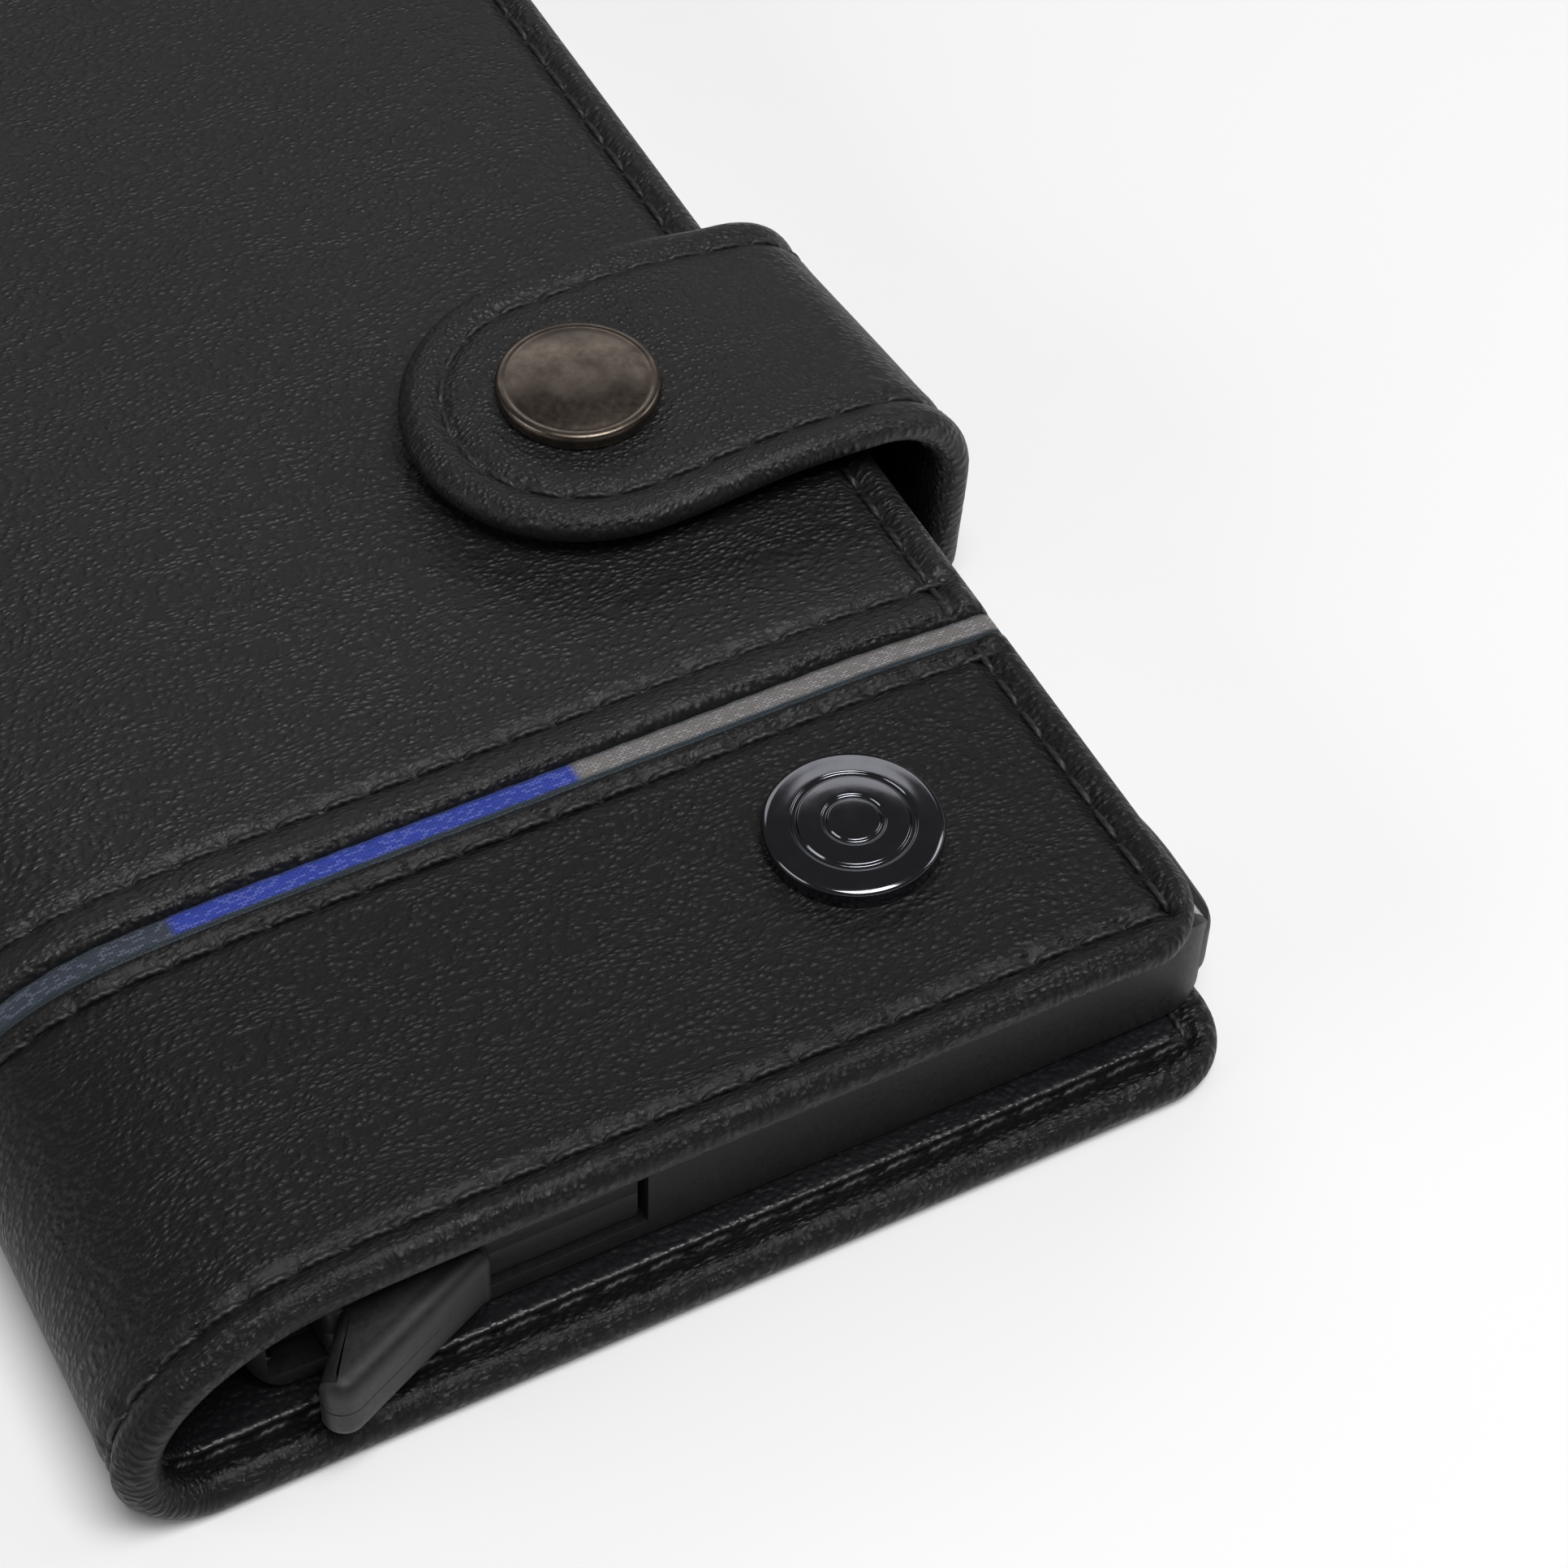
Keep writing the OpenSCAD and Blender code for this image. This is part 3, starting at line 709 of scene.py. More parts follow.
def metal(name, colour, rough, streak=(1, 1, 1), streak_scale=1.0, bump_mm=0.004, mottle=0.0, dark=None):
    mat, nt, bsdf = new_material(name)
    w = Web(nt)
    co = w.place_mm()
    lines = w.noise(w.scaled(co, streak), streak_scale, 3.0, 0.6)
    cloud = w.noise(co, 0.5, 4.0, 0.6)
    shade = tuple(c * 0.75 for c in colour) + (1,)
    base = w.mix(w.remap(lines.outputs["Fac"], 0.3, 0.7, 0.0, 0.25), (*colour, 1), shade)
    if dark is not None:
        base = w.mix(w.remap(cloud.outputs["Fac"], 0.42, 0.62, 0.0, mottle), base, (*dark, 1))
    w.link(base, bsdf.inputs["Base Color"])
    bsdf.inputs["Metallic"].default_value = 1.0
    worn = w.remap(cloud.outputs["Fac"], 0.35, 0.7, -0.02, 0.05)
    r = w.math("ADD", w.remap(lines.outputs["Fac"], 0.3, 0.7, rough * 0.85, rough * 1.2), worn)
    w.link(r, bsdf.inputs["Roughness"])
    w.link(w.bump(lines.outputs["Fac"], 0.4, bump_mm), bsdf.inputs["Normal"])
    return mat


def plastic(name, colour, rough, texture_mm=0.012, scale=3.0):
    mat, nt, bsdf = new_material(name)
    w = Web(nt)
    co = w.place_mm()
    spark = w.noise(co, scale, 3.0, 0.65)
    cloud = w.noise(co, 0.25, 3.0)
    deep, pale, dusty = (tuple(c * k for c in colour) + (1,) for k in (0.8, 1.25, 1.5))
    base = w.mix(w.remap(spark.outputs["Fac"], 0.35, 0.7, 0.0, 1.0), deep, pale)
    base = w.mix(w.remap(cloud.outputs["Fac"], 0.45, 0.7, 0.0, 0.3), base, dusty)
    w.link(base, bsdf.inputs["Base Color"])
    w.link(w.remap(spark.outputs["Fac"], 0.3, 0.7, rough - 0.07, rough + 0.1), bsdf.inputs["Roughness"])
    w.link(w.bump(spark.outputs["Fac"], 0.5, texture_mm), bsdf.inputs["Normal"])
    bsdf.inputs["Specular IOR Level"].default_value = 0.35
    return mat


# the turned edges that are gathered: (direction measured, its value at the edge, width)
HIDE_EDGES = (("y", YF, 2.1), ("y", YH, 2.1), ("s", 0.0, 2.0), ("s", S5, 2.2), ("y", PANEL_Y, 1.9), ("y", BAND_Y, 0.9))
OUTER = leather("outer_leather", (0.0105, 0.0105, 0.0115), 0.40, edges=HIDE_EDGES)
# the band is the panel's leather given a darker tone: painted shade standing in for the darker reflection on the band
BAND_SKIN_PAINTED_SHADE = leather("band_leather_painted_shade", (0.0075, 0.0075, 0.0082), 0.40, edges=HIDE_EDGES, gloss=0.24)
STRAP_SKIN = leather("strap_leather", (0.0105, 0.0105, 0.0115), 0.38, grain=1.1, along=0.75, depth=0.13)
LINING = leather("inner_leather", (0.011, 0.011, 0.013), 0.26, grain=0.8, depth=0.07, along=0.9, shine=0.12)
THREAD = thread_material()
RIBBON = ribbon_material(BAND_Y, PANEL_Y)
CASE = metal("case_anodised", (0.46, 0.465, 0.48), 0.30, streak=(0.35, 12, 12), streak_scale=1.0, bump_mm=0.003)
PLASTIC = plastic("charcoal_plastic", (0.013, 0.0135, 0.0145), 0.5)
LEVER = plastic("lever_plastic", (0.013, 0.0133, 0.0142), 0.5)
CHROME = metal("black_chrome", (0.17, 0.172, 0.19), 0.10, streak=(1, 1, 1), streak_scale=0.6, bump_mm=0.0015)
ANTIQUE = metal(
    "antique_metal", (0.165, 0.135, 0.112), 0.30, streak=(2.2, 2.2, 2.2), bump_mm=0.012, mottle=0.65,
    dark=(0.07, 0.056, 0.048),
)
NICKEL = metal("dark_nickel", (0.36, 0.34, 0.31), 0.25, streak=(3, 3, 3), bump_mm=0.003)
STEEL = metal("plain_steel", (0.5, 0.5, 0.52), 0.3, streak=(6, 1, 1), bump_mm=0.003)
BOARD = plastic("fibre_board", (0.22, 0.19, 0.15), 0.8, texture_mm=0.04, scale=1.2)
FOAM = plastic("adhesive_foam", (0.04, 0.04, 0.042), 0.85, texture_mm=0.06, scale=2.2)
GUIDE = plastic("guide_plastic", (0.05, 0.05, 0.052), 0.6)


def paint(ob, mat):
    ob.data.materials.clear()
    ob.data.materials.append(mat)


def seat(ob, mat, slot, body, *nodes):
    """A piece that rides on one body, in place of CAD nodes."""
    paint(ob, mat)
    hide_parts(*nodes)
    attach(ob, body)


def wrap(ob, mat, slot, body, bend, *nodes):
    """A piece put in place of CAD nodes, with its transform baked into its mesh."""
    paint(ob, mat)
    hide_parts(*nodes)
    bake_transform(ob)


# ---------------------------------------------------------------- the hide: panel and band
def hide_piece(name, y0, y1, rows, fold_at, seed):
    """One leather sheet from the front's open edge, round the spine, to the back's open edge."""
    fold_low = fold_at == y0
    s_list = spaced(0, S5, HIDE_STEP)
    y_list = spaced(y0, y1, HIDE_STEP)
    s, y = hide_grid(s_list, y_list)
    d = outline_distance(s, y)
    df = (y - y0) if fold_low else (y1 - y)
    eo = end_round(d, COVER_T / 2)
    ef = end_round(df, SKIN / 2)
    mid = -(SKIN / 2 + (COVER_T - SKIN) / 2 * (1 - eo))
    lump = 0.05 * waves(s, y, seed, 0.015, 0.05) * smooth(d / 6)
    relief = row_relief(s, y, rows) * np.minimum(smooth(d / 1.2), smooth(df / 0.5))
    # the panel's lower edge is folded under and stands up as a roll
    roll = 0.30 * np.exp(-(((df - 1.0) / 0.7) ** 2)) if fold_low else 0.12 * np.exp(-(((df - 0.65) / 0.4) ** 2))
    bead = 0.16 * np.exp(-(((d - 1.2) / 0.6) ** 2)) + roll * smooth(d / 1.5)
    gathers = ribs(s, df, seed + 1) * smooth(d / 1.0) + ribs(s + y, d, seed + 2, 0.9, 0.03)
    out = -COVER_T / 2 * (1 - eo) + (lump + relief + bead + gathers) * ef * eo
    out = out * ef + mid * (1 - ef)
    # nothing stands out of the face that the wallet rests on
    out = np.where(s > S4 - 3.0, np.minimum(out, 0.0), out)
    thick = COVER_T + (SKIN - COVER_T) * smooth((d - RIM + 0.3) / 0.5)
    inner = -thick + COVER_T / 2 * (1 - eo)
    # the turned edge on the inside: a bead, gathers, and pleats round the corners
    turned = smooth((RIM - d) / 0.4)
    inside_rows = [r for r in rows if r[1] not in (PANEL_Y + ROW_FOLD, BAND_Y - ROW_BAND)]
    inner = inner - (row_relief(s, y, inside_rows, 0.14, 0.12) + bead * 0.6) * turned * eo * ef
    dx = np.minimum(s, S5 - s)
    dy = np.minimum(y - YF, YH - y)
    at_corner = (dx < CORNER + 1) & (dy < CORNER + 1)
    theta = np.arctan2(CORNER - dy + 0.01, CORNER - dx + 0.01)
    pleat = 0.24 * np.cos(theta * 22) * np.exp(-(((d - 1.2) / 1.0) ** 2))
    inner = inner - np.where(at_corner, pleat, 0) * turned * eo
    inner = inner - ribs(s * 0.9 + y, d, seed + 3, 1.4, 0.035) * turned * eo
    inner = inner * ef + mid * (1 - ef)
    return closed_sheet(name, s, y, out, inner, hide_point)


BLEND = dict(start=(XL * MM, 0, 3.0 * MM), end=(XL * MM, 0, 11.2 * MM))

panel = hide_piece("leather_panel", PANEL_Y, YH, ROWS_PANEL, PANEL_Y, 11)
wrap(panel, OUTER, "outer_leather", "cover", BLEND, "front_panel", "back_leather", "spine_leather")

band = hide_piece("leather_band", YF, BAND_Y, ROWS_BAND, BAND_Y, 31)
wrap(band, BAND_SKIN_PAINTED_SHADE, "outer_leather", "cover", BLEND, "front_band")


# ---------------------------------------------------------------- the woven stripe
def stripe_piece():
    s_list = spaced(0, S5, 0.5)
    y_list = np.linspace(BAND_Y - 0.9, PANEL_Y + 0.9, 21)
    s, y = np.meshgrid(s_list, y_list, indexing="ij")
    ends = np.minimum(s, S5 - s)
    eo = end_round(ends, 1.0)
    across = (y - (BAND_Y + PANEL_Y) / 2) / ((PANEL_Y - BAND_Y) / 2)
    crown = 0.07 * (1 - np.clip(across, -1, 1) ** 2)
    knit = 0.025 * np.sin(2 * math.pi * s / 0.62)
    out = -0.50 - 0.70 * (1 - eo) + (crown + knit) * eo
    tuck = smooth((np.abs(y - (BAND_Y + PANEL_Y) / 2) - (PANEL_Y - BAND_Y) / 2 + 0.1) / 0.5)
    out = out - 0.25 * tuck * eo
    inner = -1.35 + 0.15 * (1 - eo) - 0.02
    # at its ends the ribbon is turned in with the leather
    turned = smooth((RIM - ends) / 0.4)
    ending = -1.2 - 1.0 * end_round(ends, 1.0) * turned - 0.15 * smooth(1 - (RIM - ends) / 0.4)
    inner = np.where(ends < RIM, ending, inner)
    return closed_sheet("woven_ribbon", s, y, out, inner, hide_point)


ribbon = stripe_piece()
wrap(ribbon, RIBBON, "ribbon", "cover", BLEND, "woven_stripe")


# ---------------------------------------------------------------- the lining
def lining_piece():
    edge = RIM - 0.15
    s_list = spaced(edge, S5 - edge, 0.9)
    y_list = spaced(YF + edge, YH - edge, 0.9)
    s, y = np.meshgrid(s_list, y_list, indexing="ij")
    d = np.minimum.reduce([s - edge, S5 - edge - s, y - YF - edge, YH - edge - y])
    e = end_round(d, 0.35)
    level = -COVER_T + 0.05 + 0.03 * waves(s, y, 77, 0.02, 0.06) * smooth(d / 4)
    # soft creases where the sheet bends round the inside of the spine
    inside_fold = np.exp(-(((s - S1 - 2) / 4.5) ** 2)) + np.exp(-(((s - S4 + 2) / 4.5) ** 2))
    level = level + 0.05 * inside_fold * np.sin(2 * math.pi * s / 1.5 + waves(s, y, 5, 0.02, 0.08))
    out = -1.62 - 0.1 * (1 - e)
    inner = level + 0.35 * (1 - e)
    return closed_sheet("lining_leather", s, y, out + 0 * s, inner, hide_point)


lining = lining_piece()
wrap(lining, LINING, "inner_leather", "cover", BLEND, "front_lining", "back_lining", "spine_lining")


# ---------------------------------------------------------------- the flat pocket inside the front
def pocket_piece():
    lo, hi = box_mm("pocket_panel")
    x_list = spaced(lo[0], hi[0], 0.8)
    y_list = spaced(lo[1], hi[1], 0.8)
    x, y = np.meshgrid(x_list, y_list, indexing="ij")
    dx = np.minimum(x - lo[0], hi[0] - x)
    dy = np.minimum(y - lo[1], hi[1] - y)
    d = np.minimum(dx, dy)
    e = end_round(d, 0.3)
    s = FX - x
    press = -0.10 * np.exp(-(((d - 1.6) / 0.4) ** 2)) + 0.05 * np.exp(-(((d - 0.8) / 0.4) ** 2))
    out = -(Z_TOP - hi[2]) - 0.3 * (1 - e)
    inner = -(Z_TOP - lo[2]) + 0.3 * (1 - e) - press * e

    def flat_point(s, h):
        return FX - s, Z_TOP + h

    return closed_sheet("pocket_leather", s, y, out + 0 * s, inner, flat_point)


pocket = pocket_piece()
seat(pocket, LINING, "inner_leather", "cover", "pocket_panel")

# ---------------------------------------------------------------- stitching on the hide
edge_rows = [ROWS_PANEL[0], ROWS_PANEL[2], ROWS_PANEL[3], ROWS_BAND[0], ROWS_BAND[2], ROWS_BAND[3]]
edge_thread = thread_object(
    "edge_thread", [hide_row(r) for r in edge_rows] + [hide_row(r, outer=False) for r in edge_rows]
)
wrap(edge_thread, THREAD, "thread", "cover", BLEND, "edge_stitching", "back_stitching")

for name, row, node in (
    ("fold_thread", ROWS_PANEL[1], "fold_stitching"),
    ("band_thread", ROWS_BAND[1], "band_stitching"),
):
    row_thread = thread_object(name, [hide_row(row)])
    wrap(row_thread, THREAD, "thread", "cover", BLEND, node)

# ---------------------------------------------------------------- the strap
STRAP_T = 2.0
STRAP_HALF = float(STRAP_HI[1] - STRAP_LO[1]) / 2
STRAP_ROW = 2.7
SIDE_STEP = 0.45
ARC_STEPS = 72
TIP_X = float(STRAP_LO[0])
IN_X = float(LOOP_HI[0]) - STRAP_T
IN_Z = float(STRAP_HI[2]) - STRAP_T
BEND = 4.6
LOOP_R = 1.7
P1 = (IN_X - BEND) - TIP_X
P2 = P1 + BEND * math.pi / 2
LOOP_TOP = LOOP_R + 2.15
P3 = P2 + (IN_Z - BEND) - LOOP_TOP
P4 = P3 + LOOP_R * math.pi / 2
P5 = P4 + 5.0


def strap_point(s, h, y=0.0):
    """x and z of a point s mm along the strap from its tip, h mm above its underside."""
    s = np.asarray(s, float)
    h = np.asarray(h, float) + 0 * s
    # the strap is pulled down onto the cover on its far side, and bulges a little on its near side
    bulge = smooth((s - 13) / (P1 - 11)) * smooth((P3 + 1 - s) / 9)
    h = h - (0.45 + 0.85 * y / STRAP_HALF) * bulge
    a1 = np.clip(s - P1, 0, P2 - P1) / BEND
    a2 = np.clip(s - P3, 0, P4 - P3) / LOOP_R
    ang = math.pi / 2 - a1 - a2
    nx, nz = np.cos(ang), np.sin(ang)
    x = np.where(s < P1, TIP_X + s, IN_X - BEND)
    z = np.full_like(s, IN_Z - BEND)
    r = np.full_like(s, BEND)
    down = (s > P2) & (s <= P3)
    x = np.where(down, IN_X - BEND, x)
    z = np.where(down, IN_Z - BEND - (s - P2), z)
    low = s > P3
    x = np.where(low, IN_X - LOOP_R, x)
    z = np.where(low, LOOP_TOP, z)
    r = np.where(low, LOOP_R, r)
    end = s > P4
    x = np.where(end, IN_X - LOOP_R - (s - P4), x)
    # the sewn end is pared thin, and lies between the back cover's two skins
    pare = smooth((s - P4) / 1.5)
    h = np.where(end, h * (1 - 0.75 * pare), h)
    z = np.where(end, z + 0.55 * pare, z)
    # a slight arch between the snap and the bend
    arch = 0.45 * np.sin(np.clip((s - 12) / (P1 + 2 - 12), 0, 1) * math.pi) ** 2
    sag = -0.25 * smooth((9 - s) / 9)
    px = x + nx * (r + h)
    pz = z + nz * (r + h)
    return px, pz + np.where(s < P2, arch + sag, 0)


def strap_loops(end_at, inset, steps_extra):
    """The U-shaped outline of the strap, repeated inwards. Returns s, y and the distance in."""
    hw = STRAP_HALF - inset
    centre = STRAP_HALF
    straight = np.linspace(end_at, centre, int((end_at - centre) / SIDE_STEP) + 1)
    arc = np.linspace(0, math.pi, ARC_STEPS + 1)[1:-1]
    d_list = [0, 0.03, 0.1, 0.22, 0.4, 0.65, 0.95, 1.3, 1.65, 1.95, 2.2, 2.45, 2.7, 2.95, 3.2, 3.5, 4.0] + steps_extra
    d_list = np.array([x for x in d_list if x < hw - 0.3] + [hw])
    rows = []
    for d in d_list:
        r = hw - d
        s = np.concatenate([straight, centre - r * np.sin(arc), straight[::-1]])
        y = np.concatenate([np.full(len(straight), r), r * np.cos(arc), np.full(len(straight), -r)])
        rows.append((s, y))
    s = np.array([a for a, _ in rows]).T
    y = np.array([b for _, b in rows]).T
    return s, y, np.broadcast_to(d_list, s.shape).copy()


def strap_row_position(t, end_at):
    """Point and sideways direction at distance t along the strap's stitch row."""
    r = STRAP_HALF - STRAP_ROW
    side = end_at - STRAP_HALF
    if t < side:
        return end_at - t, r, 0.0, 1.0
    if t < side + math.pi * r:
        a = (t - side) / r
        return STRAP_HALF - r * math.sin(a), r * math.cos(a), -math.sin(a), math.cos(a)
    return STRAP_HALF + (t - side - math.pi * r), -r, 0.0, -1.0


ROW_END = P2 - 0.3
ROW_LENGTH = 2 * (ROW_END - STRAP_HALF) + math.pi * (STRAP_HALF - STRAP_ROW)
STRAP_HOLES = np.linspace(0, ROW_LENGTH, int(round(ROW_LENGTH / PITCH)) + 1)


def strap_relief(s, y, d):
    off = d - STRAP_ROW
    on = smooth((ROW_END + 0.8 - s) / 0.8)
    out = -0.2 * np.exp(-((off / 0.5) ** 2)) * on + 0.16 * np.exp(-(((d - 1.35) / 0.75) ** 2))
    out += 0.05 * np.exp(-(((d - 3.9) / 0.6) ** 2)) * on
    for t in STRAP_HOLES:
        hs, hy, _, _ = strap_row_position(t, ROW_END)
        out = out - 0.17 * np.exp(-((s - hs) ** 2 + (y - hy) ** 2) / 0.18)
    return out


def strap_piece():
    s, y, d = strap_loops(P5, 0.0, [4.6, 5.4, 6.4, 7.6, 9.0, 10.3])
    e = end_round(d, STRAP_T / 2)
    fade = smooth(d / 0.8)
    lump = 0.05 * waves(s, y, 51, 0.02, 0.07) * smooth(d / 3)
    out = STRAP_T - STRAP_T / 2 * (1 - e) + (strap_relief(s, y, d) + lump) * fade
    out = out + ribs(s + np.abs(y), d, 52, 1.0, 0.025) * e
    thick = STRAP_T + (SKIN - STRAP_T) * smooth((d - 2.9) / 0.4)
    inner = STRAP_T - thick + STRAP_T / 2 * (1 - e) - strap_relief(s, y, d) * 0.6 * fade * smooth((2.9 - d) / 0.3)
    return closed_strip("strap_skin", s, y, out, inner)


def closed_strip(name, s, y, out, inner):
    n, m = s.shape
    xo, zo = strap_point(s, out, y)
    xi, zi = strap_point(s, inner, y)
    top = np.stack([xo, y, zo], -1).reshape(-1, 3)
    low = np.stack([xi, y, zi], -1).reshape(-1, 3)
    k = n * m
    flat = np.concatenate([np.stack([s, y, out], -1).reshape(-1, 3), np.stack([s, y, inner], -1).reshape(-1, 3)])
    faces = list(grid_faces(n, m, 0)) + list(grid_faces(n, m, k, True))
    for i in range(n - 1):
        a, b = i * m, (i + 1) * m
        faces.append([a, b, b + k, a + k])
    for j in range(m - 1):
        a, b = j, j + 1
        faces.append([b, a, a + k, b + k])
        a, b = (n - 1) * m + j, (n - 1) * m + j + 1
        faces.append([a, b, b + k, a + k])
    ob = mesh_object(name, np.concatenate([top, low]) * MM, faces)
    store(ob, "surf", flat)
    weld(ob, 5e-6)
    return ob


STRAP_BLEND = dict(start=(IN_X * MM, 0, 3.4 * MM), end=(IN_X * MM, 0, 8.8 * MM))
strap = strap_piece()
wrap(strap, STRAP_SKIN, "outer_leather", "strap", STRAP_BLEND, "strap_leather", "strap_loop", "strap_tongue")


def strap_under():
    s, y, d = strap_loops(P4 - 0.5, 2.75, [4.8, 6.0, 7.4])
    e = end_round(d, 0.3)
    out = 0.86 - 0.1 * (1 - e)
    inner = 0.04 + 0.3 * (1 - e) + 0.02 * waves(s, y, 61, 0.03, 0.1)
    return closed_strip("strap_under_leather", s, y, out + 0 * s, inner)


under = strap_under()
wrap(under, LINING, "inner_leather", "strap", STRAP_BLEND, "strap_lining")


def strap_thread_run(outer):
    def place(t, side, height):
        ps, py, us, uy = strap_row_position(t, ROW_END)
        h = STRAP_T - 0.2 + height if outer else 0.16 - height
        x, z = strap_point(np.array([ps + us * side]), np.array([h]), py)
        return (float(x[0]), py + uy * side, float(z[0]))

    return stitch(STRAP_HOLES, place)


strap_thread = thread_object("strap_thread", [strap_thread_run(True), strap_thread_run(False)])
seat(strap_thread, THREAD, "thread", "strap", "strap_stitching")

# ---------------------------------------------------------------- snap and badge
CAP_C = ((CAP_LO[0] + CAP_HI[0]) / 2, (CAP_LO[1] + CAP_HI[1]) / 2)
CAP_R = float(CAP_HI[0] - CAP_LO[0]) / 2
CAP_Z = float(STRAP_HI[2])
CAP_H = float(CAP_HI[2]) - CAP_Z
cap = lathe(
    "snap_cap_dome",
    eased(
        [
            (0, CAP_Z - STRAP_T), (1.3, CAP_Z - STRAP_T), (1.3, CAP_Z - 0.1),
            (CAP_R - 0.55, CAP_Z - 0.05, 0.1), (CAP_R - 0.05, CAP_Z + 0.12, 0.2), (CAP_R, CAP_Z + 0.42, 0.2),
            (CAP_R, CAP_Z + 0.86, 0.2), (CAP_R - 0.14, CAP_Z + 1.16, 0.18), (CAP_R - 0.42, CAP_Z + 1.24, 0.12),
            (CAP_R - 0.62, CAP_Z + 1.19, 0.12), (CAP_R - 1.1, CAP_Z + 1.33, 0.3),
            (CAP_R * 0.5, CAP_Z + CAP_H - 0.06, 0.6), (0, CAP_Z + CAP_H),
        ]
    ),
    CAP_C,
)
seat(cap, ANTIQUE, "antique_metal", "strap", "snap_cap")

BADGE_C = ((BADGE_LO[0] + BADGE_HI[0]) / 2, (BADGE_LO[1] + BADGE_HI[1]) / 2)
BADGE_R = float(BADGE_HI[0] - BADGE_LO[0]) / 2
BH = float(BADGE_HI[2])
badge = lathe(
    "round_badge",
    eased(
        [
            (0, Z_TOP - 1.1), (1.3, Z_TOP - 1.1), (1.3, Z_TOP - 0.15), (BADGE_R - 0.5, Z_TOP - 0.15, 0.1),
            (BADGE_R - 0.02, Z_TOP - 0.02, 0.2), (BADGE_R, Z_TOP + 0.4, 0.2), (BADGE_R, BH - 0.55, 0.2),
            (BADGE_R - 0.1, BH - 0.36, 0.16), (BADGE_R - 0.34, BH - 0.26, 0.1), (4.3, BH - 0.21, 0.3),
            (3.72, BH - 0.145, 0.05), (3.62, BH - 0.26, 0.05), (3.36, BH - 0.26, 0.05),
            (3.26, BH - 0.115, 0.05), (2.3, BH - 0.058, 0.3), (1.92, BH - 0.04, 0.05), (1.82, BH - 0.15, 0.05),
            (1.62, BH - 0.15, 0.05), (1.52, BH - 0.025, 0.05), (0.8, BH - 0.007, 0.3), (0, BH),
        ]
    ),
    BADGE_C,
)
seat(badge, CHROME, "dark_chrome", "cover", "badge")

SC = ((SOCKET_LO[0] + SOCKET_HI[0]) / 2, 0.0)
SZ0, SZ1 = float(SOCKET_LO[2]), float(SOCKET_HI[2])
socket = lathe(
    "snap_socket_ring",
    eased(
        [
            (0, SZ1), (4.3, SZ1, 0.1), (4.3, SZ1 - 0.75, 0.3), (3.95, SZ0 + 0.06, 0.2), (3.55, SZ0, 0.15),
            (3.22, SZ0 + 0.15, 0.1), (3.2, SZ1 - 0.22, 0.1), (0, SZ1 - 0.2),
        ]
    ),
    SC,
    96,
)
seat(socket, NICKEL, "snap_metal", "strap", "snap_socket")

UZ0 = Z_TOP
stud = lathe(
    "snap_stud_post",
    eased(
        [
            (0, UZ0 - 1.1), (1.3, UZ0 - 1.1), (1.3, UZ0 - 0.05), (3.55, UZ0 - 0.05, 0.1),
            (3.55, UZ0 + 0.28, 0.15), (3.1, UZ0 + 0.45, 0.15), (1.75, UZ0 + 0.42, 0.2), (1.5, UZ0 + 0.6, 0.1),
            (1.5, UZ0 + 1.0, 0.1), (1.88, UZ0 + 1.25, 0.15), (1.8, UZ0 + 1.5, 0.15), (1.3, UZ0 + 1.6, 0.15),
            (0, UZ0 + 1.55),
        ]
    ),
    SC,
    96,
)
seat(stud, NICKEL, "snap_metal", "cover", "snap_stud")

# ---------------------------------------------------------------- the card case
shell = refined("case_shell", "case_tube", 0.16)
seat(shell, CASE, "case_metal", "back", "case_shell")

CAP0, CAP1 = box_mm("case_end_cap")
moulding = refined("case_end_cap", "end_cap_main", 0.22)
bm = bmesh.new()
bm.from_mesh(moulding.data)
REACH = 3.2
for off in np.linspace(0.15, REACH, 9):
    for co, no in (((CAP1[0] - off, 0, 0), (1, 0, 0)), ((0, CAP0[1] + off, 0), (0, 1, 0))):
        bmesh.ops.bisect_plane(
            bm, geom=bm.verts[:] + bm.edges[:] + bm.faces[:], dist=1e-7, plane_co=[c * MM for c in co], plane_no=no
        )
mid_x, mid_y = CAP1[0] - REACH, CAP0[1] + REACH
for v in bm.verts:
    dx, dy = v.co.x / MM - mid_x, v.co.y / MM - mid_y
    far = math.hypot(dx, dy)
    if dx > 0 and dy < 0 and far > REACH:
        v.co.x, v.co.y = (mid_x + dx * REACH / far) * MM, (mid_y + dy * REACH / far) * MM
bm.to_mesh(moulding.data)
bm.free()
bulge_outline = round_polygon(
    [
        (CAP1[0] - 5.0, CAP0[1] + 0.6, 0.3), (CAP1[0] + 0.25, CAP0[1] + 0.6, 3.6),
        (CAP1[0] + 0.45, CAP0[1] + 9.5, 4.0), (CAP1[0] - 1.4, CAP0[1] + 16.0, 0.6),
        (CAP1[0] - 5.0, CAP0[1] + 16.0, 0.3),
    ],
    10,
)
z0, z1 = CAP0[2] + 0.9, CAP1[2] - 1.5
bulge_levels = [(0, 1.3), (0.08, 0.85), (0.3, 0.45), (0.65, 0.17), (1.1, 0.03), (1.6, 0.0)]
bulge_sides = [(z0 + a, b) for a, b in bulge_levels] + [(z1 - a, b) for a, b in bulge_levels[::-1]]
bulge = loft("end_cap_bulge", bulge_outline, bulge_sides)
end_cap = join([moulding, bulge], "end_cap_moulding")
seat(end_cap, PLASTIC, "case_plastic", "back", "case_end_cap")

